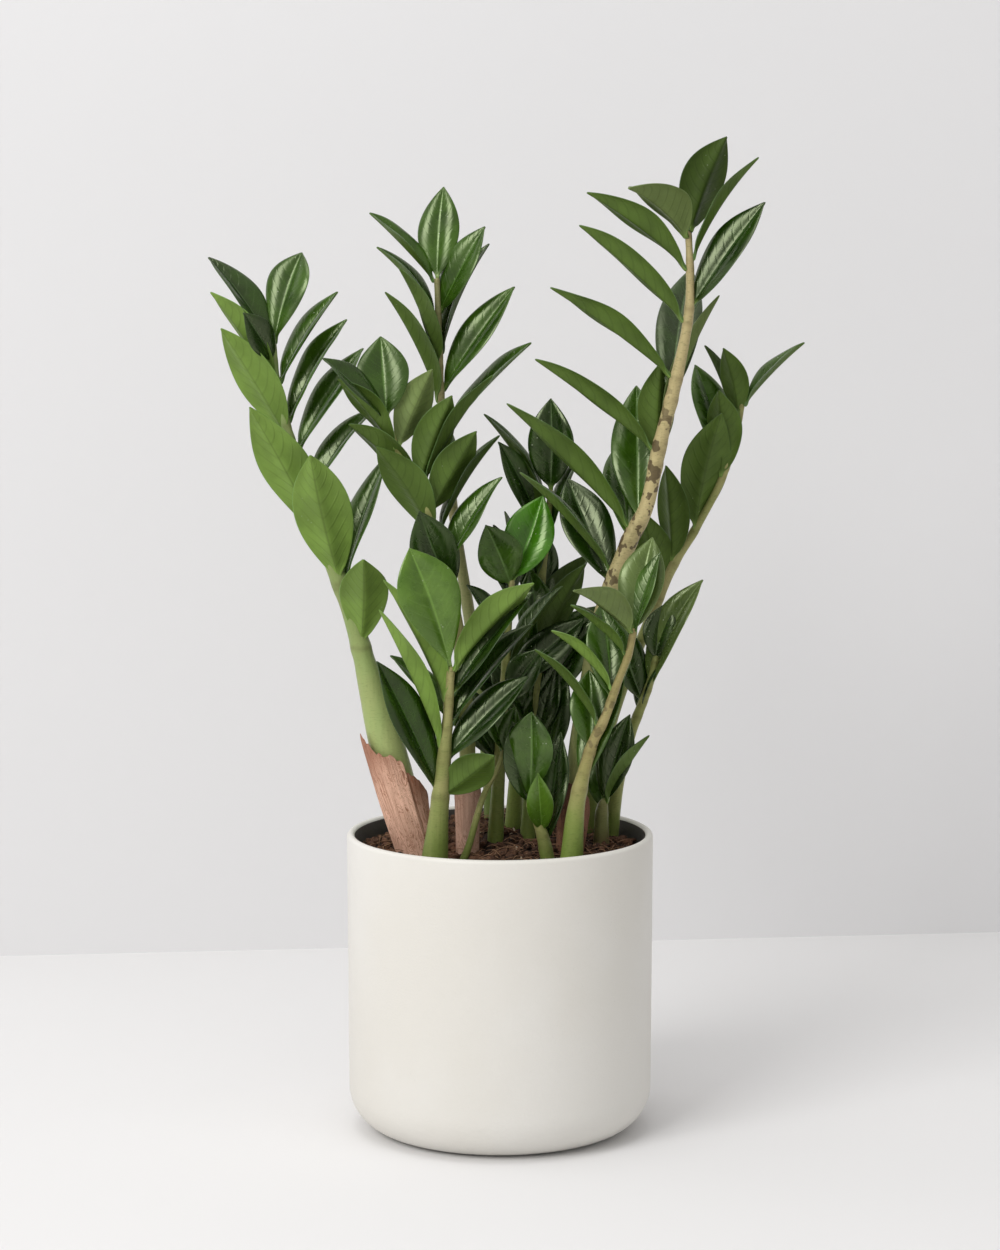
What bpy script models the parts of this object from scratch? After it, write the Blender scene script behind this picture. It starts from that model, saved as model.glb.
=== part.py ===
"""Potted ZZ plant (Zamioculcas zamiifolia) in a plain round-bottomed pot.

Each green stalk of this plant is one compound leaf: a swollen stalk that carries a row of thick,
pointed leaflets. The stalks rise from a rhizome in the soil, and papery sheaths stay at their feet.

Frame: metres, +Z up, origin at the centre of the pot's foot, on the surface that the pot stands on.
The front of the plant faces -Y. The tables of stalks and leaflets are in millimetres and degrees,
for a pot of NOMINAL_BORE, and their heights count from the soil line.
"""

import math
from collections import namedtuple

import bmesh
import bpy
from mathutils import Vector

MM = 0.001

# Pot
POT_RADIUS = 0.0900  # outside, at the rim
POT_TAPER = 0.0006  # how much narrower the wall is at its foot
POT_HEIGHT = 0.1770
POT_WALL = 0.0045
POT_FLOOR = 0.0060
POT_CORNER = 0.0260  # outer radius of the round bottom edge
POT_SIDES = 40
CORNER_STEPS = 6
RIM_STEPS = 4

# Soil
SOIL_DROP = 0.0120  # from the rim down to the soil line
SOIL_MOUND = 0.0100  # how far the soil is heaped up behind the middle
SOIL_RIPPLE = 0.0008
SOIL_SIDES = 32
SOIL_RINGS = (0.22, 0.44, 0.66, 0.85, 1.0)  # shares of the soil's radius

# Fits
GAP = 0.0003  # between pieces that touch
SOCKET_CLEARANCE = 0.0005  # round a stalk where it stands in the soil
STALK_DEPTH = 0.0220  # how deep a stalk stands below the soil line
SOCKET_SPARE = 0.0030  # how far its hole goes on below it

# Plant
NOMINAL_BORE = 0.0855  # inner radius of the pot that the tables are drawn for
GROWTH = (POT_RADIUS - POT_WALL) / NOMINAL_BORE
SOIL_CLEARANCE = GAP * GROWTH  # inside the pot, whose flat facets stand off its bore as it grows
BLADE_THICKNESS = 0.0010 * GROWTH
BLADE_FOLD = math.radians(20)  # how far each half of a blade rises from its midrib
BLADE_ARCH = 6  # degrees that a blade bends back from end to end
PETIOLULE_RADIUS = 0.0010 * GROWTH  # the short stem between a blade and its stalk
PETIOLULE_SHARE = 0.05  # its share of the leaflet's length
BLADE_STATIONS = (0.0, 0.05, 0.16, 0.34, 0.54, 0.74, 0.90)
STALK_ROUNDNESS = 2  # bevel resolution: 8 sides
RING_SPACING = 0.036 * GROWTH  # between the rings of a stalk
EMBED = 0.0015 * GROWTH  # how far a leaflet that is one with its stalk starts inside it

SOIL_LEVEL = POT_HEIGHT - SOIL_DROP
BORE = POT_RADIUS - POT_WALL

Leaflet = namedtuple("Leaflet", "height heading toward roll length width")
Leaflet.__doc__ = """One leaflet, in millimetres and degrees.

height: of its joint above the soil line. heading: from straight up towards +X. toward: out of
the XZ plane, towards the front. roll: 0 shows the upper face to the front, 90 turns it upwards
and 180 shows the underside. length: from the side of its stalk to its tip.
"""

# Each stalk's course: x, y, height above the soil line, radius.
STALKS = {
    "left_tall": [
        (-48, -12, 0, 10.4), (-57, -13, 32, 10.6), (-67, -14, 70, 10.2), (-74, -14, 97, 8.0),
        (-80, -13, 120, 6.0), (-88, -12, 148, 5.2), (-105, -10, 192, 4.2), (-122, -7, 245, 3.0),
        (-129, -4, 276, 2.3), (-131, -2, 298, 1.7),
    ],
    "middle_tall": [
        (-3, 58, 0, 6.2), (-6, 56, 41, 5.2), (-11, 54, 83, 4.4), (-18, 51, 131, 3.8),
        (-26, 47, 184, 3.2), (-32, 43, 231, 2.7), (-35, 40, 265, 2.3), (-36, 38, 300, 2.0),
        (-37, 35, 334, 1.6),
    ],
    "right_tall": [
        (41, -5, 0, 8.0), (46, -6, 60, 7.4), (52, -7, 97, 6.8), (58, -8, 132, 6.2),
        (66, -9, 160, 5.5), (75, -10, 185, 4.8), (85, -11, 206, 4.3), (92, -12, 240, 4.0),
        (101, -13, 277, 3.7), (108, -13, 313, 2.8), (109, -12, 339, 2.3), (108, -10, 362, 1.8),
    ],
    "front_left": [
        (-38, -46, 0, 8.0), (-34, -47, 43, 4.8), (-31, -48, 75, 3.3), (-29, -49, 101, 2.6),
        (-28, -50, 115, 2.2),
    ],
    "front_right": [
        (41, -45, 0, 7.0), (44, -46, 36, 5.6), (52, -47, 69, 4.2), (60, -48, 87, 3.5),
        (67, -49, 107, 2.8), (73, -50, 123, 2.5), (76, -50, 137, 2.2),
    ],
    "right_low": [
        (66, 32, 0, 4.6), (70, 28, 35, 3.8), (78, 24, 67, 3.0), (88, 21, 95, 2.3),
        (92, 20, 112, 1.8),
    ],
    "right_shoot": [(60, 10, 0, 5.0), (60, 8, 20, 3.8), (61, 7, 28, 2.4)],
    "right_back": [
        (50, 44, 0, 6.0), (60, 42, 50, 4.8), (72, 41, 90, 4.0), (85, 40, 122, 3.4),
        (102, 40, 163, 2.8), (115, 40, 185, 2.5), (130, 40, 213, 2.1), (139, 40, 239, 1.8),
        (143, 40, 260, 1.5),
    ],
    "left_middle": [
        (-19, -12, 0, 5.0), (-19, -12, 61, 4.6), (-21, -12, 101, 4.2), (-25, -13, 137, 3.6),
        (-31, -13, 167, 3.1), (-40, -14, 196, 2.7), (-46, -14, 215, 2.4), (-59, -15, 238, 2.0),
        (-65, -15, 256, 1.6),
    ],
    "middle_back": [
        (7, 30, 0, 5.5), (11, 31, 50, 4.2), (17, 33, 97, 3.4), (23, 35, 144, 2.8),
        (27, 37, 179, 2.3), (30, 38, 209, 1.7),
    ],
    "middle": [
        (-3, 6, 0, 5.0), (-1, 5, 40, 3.8), (2, 3, 90, 2.8), (5, 1, 135, 2.1), (7, 0, 160, 1.6),
    ],
    "middle_low": [(16, 12, 0, 4.8), (18, 14, 40, 3.6), (21, 15, 80, 2.6), (24, 16, 119, 1.8)],
    "front_shoot": [(28, -32, 0, 4.2), (24, -34, 18, 3.2), (17, -36, 35, 2.0)],
    "thin_shoot": [
        (-22, -33, 0, 2.4), (-18, -33, 10, 2.1), (-10, -33, 38, 1.8), (-1, -33, 56, 1.5),
        (2, -33, 65, 1.2),
    ],
}

# Each stalk's leaflets, from its tip down: the left row and then the right row.
LEAFLETS = {
    "left_tall": [
        (298, 17, 5, 10, 55, 30), (296, -35, -10, 65, 59, 24), (290, -33, 38, 40, 44, 24),
        (276, -35, 0, 88, 64, 26), (252, -31, 4, 110, 62, 26), (195, -27, 13, 155, 78, 29),
        (163, -11, 24, 175, 72, 36), (123, 3, 30, 178, 58, 30),
        (275, 33, -5, 85, 62, 26), (252, 30, -8, 80, 68, 26), (235, 33, -12, 80, 71, 26),
        (210, 37, -15, 80, 62, 26), (157, 19, -12, 70, 79, 28),
    ],
    "middle_tall": [
        (334, 4, 5, 5, 52, 25), (333, -44, 0, 75, 55, 22), (311, -40, 0, 80, 54, 22),
        (283, -21, 27, 105, 64, 22), (261, -26, 5, 105, 69, 24),
        (314, 28, 5, 60, 55, 24), (290, 24, -5, 85, 68, 24), (268, 35, 0, 60, 72, 26),
        (244, 44, 0, 80, 72, 24), (205, -20, -25, 60, 65, 26),
    ],
    "right_tall": [
        (362, 22, -15, 150, 60, 33), (360, -52, 40, 120, 56, 36), (341, -53, 0, 110, 70, 24),
        (311, -48, 0, 105, 81, 24), (279, -54, 0, 105, 86, 26), (237, -53, 0, 105, 85, 26),
        (191, -45, 0, 115, 100, 30), (165, -43, 0, 92, 77, 24),
        (346, 33, 0, 95, 69, 22), (319, 35, 0, 60, 70, 24), (266, 12, -47, 12, 108, 28),
        (241, 22, -11, 118, 90, 20), (229, 3, -9, 150, 56, 26), (195, 0, -27, 10, 83, 32),
        (158, -23, -28, 20, 69, 32), (185, -10, -40, 20, 60, 28),
    ],
    "front_left": [
        (115, -18, 10, 15, 74, 34), (95, -27, 0, 125, 78, 28), (67, -24, 0, 115, 87, 28),
        (42, -25, 0, 45, 81, 30),
        (114, 42, 8, 135, 69, 30), (99, 38, 0, 55, 75, 28), (81, 40, -10, 60, 75, 28),
        (62, 45, -4, 50, 65, 28), (41, 50, 15, 165, 37, 26),
    ],
    "front_right": [
        (137, -51, 40, 130, 57, 30), (124, -48, 10, 95, 43, 22), (103, -46, 0, 100, 48, 22),
        (82, -40, 0, 98, 56, 22), (97, -6, -25, 15, 56, 28), (67, 0, -20, 0, 45, 26),
        (136, 12, -15, 20, 55, 28), (133, 18, -5, 60, 50, 22), (45, 18, -15, 40, 88, 28),
    ],
    "right_low": [
        (93, 26, 0, 50, 71, 28), (77, 20, -10, 60, 45, 24), (110, 12, -10, 10, 34, 22),
        (85, -20, -12, 20, 50, 24),
    ],
    "right_shoot": [(26, 16, 0, 30, 54, 24), (27, 31, 15, 110, 50, 22), (22, 5, -35, 20, 40, 20)],
    "right_back": [
        (260, 44, 0, 80, 51, 20), (254, -14, 0, 150, 40, 20), (245, -20, -20, 100, 55, 22),
        (223, -16, -25, 30, 67, 28), (217, -3, 10, 150, 52, 26), (185, 12, 10, 170, 72, 30),
        (166, -5, 5, 140, 57, 26), (145, -10, 0, 160, 50, 26),
    ],
    "left_middle": [
        (256, -5, -30, 0, 48, 30), (255, -45, 10, 60, 51, 24), (238, -39, 5, 130, 52, 24),
        (216, -47, 5, 135, 53, 26), (187, -32, 10, 150, 62, 28), (153, -20, 15, 10, 53, 30),
        (70, -42, 5, 60, 62, 24),
        (239, 24, -5, 160, 48, 24), (218, 21, 0, 165, 53, 25), (216, 33, -10, 92, 76, 24),
        (201, 30, 0, 150, 53, 26), (187, 32, -12, 85, 68, 24), (170, 32, 0, 55, 59, 26),
    ],
    "middle_back": [
        (209, 0, 0, 8, 54, 30), (180, -25, 10, 40, 65, 24), (197, -33, 0, 85, 68, 22),
        (157, -14, 0, 110, 86, 26), (175, 20, 0, 70, 55, 24), (135, -3, -4, 20, 55, 28),
        (120, 33, -5, 140, 60, 26), (60, 5, -10, 10, 70, 34), (75, -35, 0, 30, 65, 30),
        (92, 42, 3, 20, 65, 30),
    ],
    "middle": [
        (160, 20, -10, 20, 47, 26), (157, -22, 15, 10, 40, 28), (147, -12, -20, 40, 47, 24),
        (158, -5, -30, 70, 46, 22), (120, -31, 5, 60, 43, 22), (111, 35, 5, 75, 55, 22),
        (87, 34, 15, 30, 40, 24), (97, 50, -10, 40, 60, 26), (52, -32, -12, 35, 55, 28),
    ],
    "middle_low": [
        (119, 27, 6, 150, 55, 24), (105, -5, -15, 20, 60, 28), (85, 35, 0, 30, 60, 26),
        (70, -30, -12, 30, 50, 24), (60, 15, 0, 30, 50, 24),
        (34, 15, 0, 30, 75, 34), (50, -15, -10, 15, 55, 28),
    ],
    "front_shoot": [
        (35, 1, 10, 15, 54, 29), (16, -4, 20, 0, 38, 17), (9, 8, -14, 30, 64, 22),
        (33, -12, 4, 20, 50, 24),
    ],
    "thin_shoot": [(65, -20, -12, 40, 33, 18), (64, 15, -14, 30, 27, 16)],
}

# The stalks whose leaflets are separate pieces. On the others they are one piece with the stalk.
SEPARATE = ("left_tall", "middle_tall", "right_tall")

# The sheaths: the stalk that each one wraps, its height above the soil line, the share of the
# way round that it reaches, the side that it covers (from +X towards +Y) and its flare at the top.
Sheath = namedtuple("Sheath", "stalk height wrap side flare")
SHEATHS = {
    "sheath_left": Sheath("left_tall", 66, 0.74, -70, 1.5),
    "sheath_right": Sheath("right_tall", 46, 0.60, -95, 1.0),
    "sheath_middle": Sheath("left_middle", 52, 0.80, -90, 0.8),
}
SHEATH_THICKNESS = 0.0007
SHEATH_CLEARANCE = 0.0006  # between a sheath and its stalk
SHEATH_DEPTH = 0.0080  # how deep it stands below the soil line
SHEATH_COLUMNS = 8
SHEATH_ROWS = 4

CERAMIC = ("glazed clay", (0.74, 0.72, 0.68), 0.60)
BARK = ("potting bark", (0.085, 0.045, 0.028), 0.95)
STALK_GREEN = ("stalk green", (0.24, 0.38, 0.10), 0.45)
LEAF_GREEN = ("leaf green", (0.060, 0.150, 0.030), 0.30)
DRY_SHEATH = ("dry sheath", (0.42, 0.27, 0.19), 0.80)


def clear_scene():
    """Empty the scene without closing the file that holds this script."""
    for old in list(bpy.data.objects):
        bpy.data.objects.remove(old, do_unlink=True)


def finish(name, colour, roughness):
    """Return the named material, made on its first use."""
    material = bpy.data.materials.get(name)
    if material is None:
        material = bpy.data.materials.new(name)
        material.use_nodes = True
        shader = material.node_tree.nodes["Principled BSDF"]
        shader.inputs["Base Color"].default_value = (*colour, 1.0)
        shader.inputs["Roughness"].default_value = roughness
    return material


def add_object(name, mesh, look=None):
    """Link a mesh to the scene as one named object."""
    added = bpy.data.objects.new(name, mesh)
    bpy.context.scene.collection.objects.link(added)
    if look:
        mesh.materials.clear()
        mesh.materials.append(finish(*look))
        mesh.shade_smooth()
        mesh.set_sharp_from_angle(angle=math.radians(40))
    return added


def as_helper(helper):
    """Mark an object as one that only shapes others."""
    helper.hide_render = True
    helper.display_type = "WIRE"
    return helper


def evaluated_mesh(source):
    """Return the mesh of an object as its modifiers or its bevel leave it, and remove the object."""
    graph = bpy.context.evaluated_depsgraph_get()
    mesh = bpy.data.meshes.new_from_object(source.evaluated_get(graph))
    bpy.data.objects.remove(source, do_unlink=True)
    return mesh


def to_mesh(name, bm):
    """Turn a bmesh into a mesh whose faces agree, and point out of it where it is closed."""
    bmesh.ops.recalc_face_normals(bm, faces=bm.faces)
    if bm.calc_volume(signed=True) < 0:
        bmesh.ops.reverse_faces(bm, faces=bm.faces)
    mesh = bpy.data.meshes.new(name)
    bm.to_mesh(mesh)
    bm.free()
    return mesh


def arc(centre, radius, start, end, steps):
    """Return the points of an arc in the profile plane, as (distance from the axis, height)."""
    turns = [math.radians(start + (end - start) * step / steps) for step in range(steps + 1)]
    return [
        (centre[0] + radius * math.cos(turn), centre[1] + radius * math.sin(turn)) for turn in turns
    ]


def revolved(name, profile, sides):
    """Spin a profile, which runs from the axis to the axis, into a closed turned mesh."""
    bm = bmesh.new()
    line = [bm.verts.new((distance, 0.0, height)) for distance, height in profile]
    edges = [bm.edges.new(pair) for pair in zip(line, line[1:])]
    bmesh.ops.spin(
        bm, geom=line + edges, cent=(0, 0, 0), axis=(0, 0, 1), angle=math.tau, steps=sides,
        use_merge=True,
    )
    bmesh.ops.remove_doubles(bm, verts=bm.verts, dist=1e-6)
    return to_mesh(name, bm)


def pot():
    """The pot: straight walls, a round bottom edge, a flat foot and a rounded rim."""
    foot_radius = POT_RADIUS - POT_TAPER
    inner_corner = POT_CORNER - POT_WALL
    inner_foot = foot_radius - POT_WALL
    rim = POT_WALL / 2
    outer = arc((foot_radius - POT_CORNER, POT_CORNER), POT_CORNER, -90, 0, CORNER_STEPS)
    lip = arc((POT_RADIUS - rim, POT_HEIGHT - rim), rim, 0, 180, RIM_STEPS)
    inner = arc(
        (inner_foot - inner_corner, POT_FLOOR + inner_corner), inner_corner, 0, -90, CORNER_STEPS
    )
    profile = [(0.0, 0.0)] + outer + lip + inner + [(0.0, POT_FLOOR)]
    return add_object("pot", revolved("pot", profile, POT_SIDES), CERAMIC)


def soil_height(x, y):
    """Height of the soil's surface, which is heaped up behind the middle and gently rippled."""
    across, along = x / BORE, y / BORE
    heap = SOIL_MOUND * math.exp(-2.2 * (across**2 + (along - 0.55) ** 2))
    ripple = SOIL_RIPPLE * (math.sin(9 * across + 1) + math.sin(11 * along - 7 * across))
    return SOIL_LEVEL + heap + ripple


def bore_at(height):
    """Inner radius of the pot's straight wall at a height."""
    share = max(0.0, min(1.0, (height - POT_CORNER) / (POT_HEIGHT - POT_CORNER)))
    return BORE - POT_TAPER * (1.0 - share)


def soil(routes):
    """The potting bark: it fills the pot to the soil line and has a socket for each stalk."""
    corner = POT_CORNER - POT_WALL
    foot = POT_RADIUS - POT_TAPER - POT_WALL
    below = arc(
        (foot - corner, POT_FLOOR + corner), corner - SOIL_CLEARANCE, -90, 0, CORNER_STEPS
    )
    edge = bore_at(SOIL_LEVEL) - SOIL_CLEARANCE
    profile = [(0.0, POT_FLOOR + SOIL_CLEARANCE)] + below + [(edge, SOIL_LEVEL)]
    profile += [(edge * share, SOIL_LEVEL) for share in reversed(SOIL_RINGS[:-1])]
    profile.append((0.0, SOIL_LEVEL))
    mesh = revolved("soil", profile, SOIL_SIDES)
    for vertex in mesh.vertices:
        if vertex.co.z > SOIL_LEVEL - GAP:
            vertex.co.z = soil_height(vertex.co.x, vertex.co.y)
    bark = add_object("soil", mesh, BARK)
    for name, route in routes.items():
        cut = bark.modifiers.new(f"socket {name}", "BOOLEAN")
        cut.operation = "DIFFERENCE"
        cut.solver = "EXACT"
        cut.object = socket(name, route)
    return bark


def smooth_route(points):
    """Read rings from a smooth curve through a stalk's points, as (place, radius) in metres."""
    scale = MM * GROWTH
    knots = [
        Vector((x, y, height, radius)) * scale + Vector((0, 0, SOIL_LEVEL, 0))
        for x, y, height, radius in points
    ]
    ends = [knots[0] * 2 - knots[1]] + knots + [knots[-1] * 2 - knots[-2]]
    rings = []
    for before, start, end, after in zip(ends, ends[1:], ends[2:], ends[3:]):
        steps = max(1, round((end - start).xyz.length / RING_SPACING))
        for step in range(steps):
            t = step / steps
            rings.append(
                0.5 * (
                    2 * start
                    + (end - before) * t
                    + (2 * before - 5 * start + 4 * end - after) * t**2
                    + (3 * (start - end) + after - before) * t**3
                )
            )
    rings.append(knots[-1])
    lean = rings[1] - rings[0]
    foot = rings[0] - lean * (STALK_DEPTH / lean.z)
    foot.w = rings[0].w
    return [foot] + rings


def tube(name, rings):
    """Sweep a round section along rings of (x, y, z, radius) and return the closed mesh."""
    curve = bpy.data.curves.new(name, "CURVE")
    curve.dimensions = "3D"
    curve.bevel_depth = 1.0
    curve.bevel_resolution = STALK_ROUNDNESS
    curve.use_fill_caps = True
    spline = curve.splines.new("POLY")
    spline.points.add(len(rings) - 1)
    for point, ring in zip(spline.points, rings):
        point.co = (*ring.xyz, 1.0)
        point.radius = ring.w
    path = bpy.data.objects.new(name, curve)
    bpy.context.scene.collection.objects.link(path)
    return evaluated_mesh(path)


def socket(name, route):
    """The cutter of a stalk's hole in the soil, with room for its sheath where it has one."""
    wrapped = name in [shape.stalk for shape in SHEATHS.values()]
    rings = [ring.copy() for ring in route]
    for ring in rings:
        ring.w += SOCKET_CLEARANCE
        if wrapped:  # a round sheath inside an eight-sided hole
            ring.w = (ring.w + SHEATH_CLEARANCE + SHEATH_THICKNESS) / math.cos(math.pi / 8)
    lean = rings[1] - rings[0]
    rings[0].xyz -= lean.xyz * (SOCKET_SPARE / lean.z)
    above = SOIL_LEVEL + SOIL_MOUND + 3 * SOIL_RIPPLE
    last = next(number for number, ring in enumerate(rings) if ring.z > above)
    return as_helper(add_object(f"socket_{name}", tube(name, rings[: last + 1])))


def ring_at(route, z):
    """Return a stalk's centre, radius and direction at a height, read off between two rings."""
    for lower, upper in zip(route, route[1:]):
        if z <= upper.z:
            break
    share = min(1.0, (z - lower.z) / (upper.z - lower.z))
    ring = lower.lerp(upper, share)
    return ring.xyz, ring.w, (upper - lower).xyz.normalized()


def outline(share):
    """Half the width of a blade, as a share of its widest half."""
    return math.sin(math.pi * share) ** 0.75


def blade(name, start, along, facing, length, width):
    """A leaflet: a short stem and a thick pointed blade, folded along its midrib and arched."""
    side = along.cross(facing)
    arch = length * math.tan(math.radians(BLADE_ARCH) / 4)
    bm = bmesh.new()
    rings = []
    for station in BLADE_STATIONS:
        centre = start + along * (length * station) + facing * (4 * arch * station * (1 - station))
        share = (station - PETIOLULE_SHARE) / (1 - PETIOLULE_SHARE)
        if share <= 0:
            spread, rise, thick = PETIOLULE_RADIUS, 0.0, PETIOLULE_RADIUS
        else:
            half = width / 2 * outline(share)
            spread, rise = half * math.cos(BLADE_FOLD), half * math.sin(BLADE_FOLD)
            thick = BLADE_THICKNESS / 2
        offsets = (facing * rise - side * spread, facing * thick, facing * rise + side * spread,
                   -facing * thick)
        rings.append([bm.verts.new(centre + offset) for offset in offsets])
    for near, far in zip(rings, rings[1:]):
        for a, b in ((0, 1), (1, 2), (2, 3), (3, 0)):
            bm.faces.new((near[a], near[b], far[b], far[a]))
    bm.faces.new(rings[0])
    end = bmesh.ops.poke(bm, faces=[bm.faces.new(rings[-1])])["verts"][0]
    end.co = start + along * length
    return to_mesh(name, bm)


def leaflet(name, route, row, joined):
    """Place one leaflet on its stalk: grown into it, or a gap away from it."""
    heading, toward, roll = (math.radians(angle) for angle in (row.heading, row.toward, row.roll))
    along = Vector((
        math.sin(heading) * math.cos(toward), -math.sin(toward), math.cos(heading) * math.cos(toward)
    ))
    front = (Vector((0, -1, 0)) - along * -along.y).normalized()
    upward = front.cross(along) * math.copysign(1, row.heading)
    facing = front * math.cos(roll) + upward * math.sin(roll)
    centre, radius, course = ring_at(route, SOIL_LEVEL + row.height * MM * GROWTH)
    clear = -EMBED
    if not joined:
        slant = max(0.2, along.angle(course))
        at_tip = SOIL_LEVEL + (row.height + 1) * MM * GROWTH > route[-1].z
        if at_tip and slant < math.radians(35):
            clear = (GAP + PETIOLULE_RADIUS * math.sin(slant)) / math.cos(slant)
        else:
            clear = (radius + GAP + PETIOLULE_RADIUS * abs(math.cos(slant))) / math.sin(slant)
    scale = MM * GROWTH
    length = row.length * scale + radius - clear
    return blade(name, centre + along * clear, along, facing, length, row.width * scale)


def united(name, mesh, others):
    """Join other meshes to one with a Boolean and return the single closed mesh."""
    group = bpy.data.collections.new(name)
    for number, other in enumerate(others):
        group.objects.link(bpy.data.objects.new(f"{name} {number}", other))
    whole = add_object(name, mesh)
    join = whole.modifiers.new("join", "BOOLEAN")
    join.operation = "UNION"
    join.solver = "EXACT"
    join.operand_type = "COLLECTION"
    join.collection = group
    joined = evaluated_mesh(whole)
    for helper in list(group.objects):
        bpy.data.objects.remove(helper, do_unlink=True)
    bpy.data.collections.remove(group)
    return joined


def plant(routes):
    """The compound leaves, with their leaflets as pieces of their own on the SEPARATE ones."""
    for name, rows in LEAFLETS.items():
        route = routes[name]
        stalk = tube(name, route)
        joined = name not in SEPARATE
        blades = [
            leaflet(f"leaflet_{name}_{number:02d}", route, Leaflet(*row), joined)
            for number, row in enumerate(rows, 1)
        ]
        if joined:
            add_object(f"frond_{name}", united(name, stalk, blades), LEAF_GREEN)
        else:
            add_object(f"stalk_{name}", stalk, STALK_GREEN)
            for mesh in blades:
                add_object(mesh.name, mesh, LEAF_GREEN)


def sheath(name, route, shape):
    """A papery sheath: it wraps part of the way round a stalk and opens towards its point."""
    bm = bmesh.new()
    rows = []
    for row in range(SHEATH_ROWS + 1):
        up = row / SHEATH_ROWS
        rows.append([])
        for column in range(SHEATH_COLUMNS + 1):
            across = 2 * column / SHEATH_COLUMNS - 1
            top = shape.height * MM * GROWTH * (1 - 0.5 * abs(across) ** 1.5)
            z = SOIL_LEVEL - SHEATH_DEPTH + up * (top + SHEATH_DEPTH)
            centre, radius, course = ring_at(route, z)
            reach = radius + SHEATH_CLEARANCE + shape.flare * MM * GROWTH * up**3
            turn = math.radians(shape.side) + math.pi * shape.wrap * across
            right = course.cross(Vector((0, 1, 0))) * -1
            outward = right * math.cos(turn) + course.cross(right) * math.sin(turn)
            rows[-1].append(bm.verts.new(centre + outward.normalized() * reach))
    for low, high in zip(rows, rows[1:]):
        for left in range(SHEATH_COLUMNS):
            bm.faces.new((low[left], low[left + 1], high[left + 1], high[left]))
    wrapped = add_object(name, to_mesh(name, bm), DRY_SHEATH)
    wall = wrapped.modifiers.new("wall", "SOLIDIFY")
    wall.thickness = SHEATH_THICKNESS
    wall.offset = 1.0
    return wrapped


def build():
    """Make the whole plant in its pot."""
    clear_scene()
    routes = {name: smooth_route(points) for name, points in STALKS.items()}
    pot()
    soil(routes)
    plant(routes)
    for name, shape in SHEATHS.items():
        sheath(name, routes[shape.stalk], shape)


build()
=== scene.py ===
"""The looks of a potted ZZ plant: glazed pot, bark, papery sheaths, stalks and waxy leaflets.

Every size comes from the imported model's boxes and from a few values of the design, in metres. The
tables of stalks and leaflets are the plant's own design: in millimetres and degrees, for a pot of
NOMINAL_BORE, with heights counted from the soil line.
"""
import logging
import math
import random
from contextlib import contextmanager
from dataclasses import dataclass, field, replace
from enum import Enum
from typing import Callable, Iterable, Iterator, Optional, Sequence

import bmesh
import bpy
import numpy as np
from mathutils import Matrix, Vector, noise


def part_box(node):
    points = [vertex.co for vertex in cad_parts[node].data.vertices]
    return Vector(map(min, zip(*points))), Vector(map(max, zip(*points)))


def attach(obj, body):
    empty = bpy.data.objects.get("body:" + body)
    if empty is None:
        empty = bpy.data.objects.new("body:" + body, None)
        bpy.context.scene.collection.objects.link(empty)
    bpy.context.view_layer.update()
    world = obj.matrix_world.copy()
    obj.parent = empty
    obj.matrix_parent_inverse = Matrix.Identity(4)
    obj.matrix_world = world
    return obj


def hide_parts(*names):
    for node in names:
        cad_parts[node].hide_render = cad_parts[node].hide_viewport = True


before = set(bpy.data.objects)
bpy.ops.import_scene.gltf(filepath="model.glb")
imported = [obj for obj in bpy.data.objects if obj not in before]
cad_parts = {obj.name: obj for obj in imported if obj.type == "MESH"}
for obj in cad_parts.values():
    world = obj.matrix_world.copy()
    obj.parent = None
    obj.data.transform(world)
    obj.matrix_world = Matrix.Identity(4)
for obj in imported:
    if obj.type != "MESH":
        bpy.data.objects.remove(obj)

Colour = tuple[float, float, float]
Row = tuple

MM = 0.001
BODY = "root"
MERGE_DISTANCE = 1e-6
LOG = logging.getLogger("zz_plant")
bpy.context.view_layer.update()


# ---------------------------------------------------------------------------------------------
# The design: courses of the stalks and rows of leaflets
# ---------------------------------------------------------------------------------------------

NOMINAL_BORE = 0.0855  # inner radius of the pot that the tables are drawn for
POT_WALL = 0.0045
POT_TAPER = 0.0006
POT_CORNER = 0.0260
POT_FLOOR = 0.0060
SOIL_DROP = 0.0120
SOIL_MOUND = 0.0100
SOIL_RIPPLE = 0.0008
STALK_DEPTH = 0.0120  # how deep the stalks go on below the soil line
PETIOLULE_SHARE = 0.05  # the short stem's share of a leaflet

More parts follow.
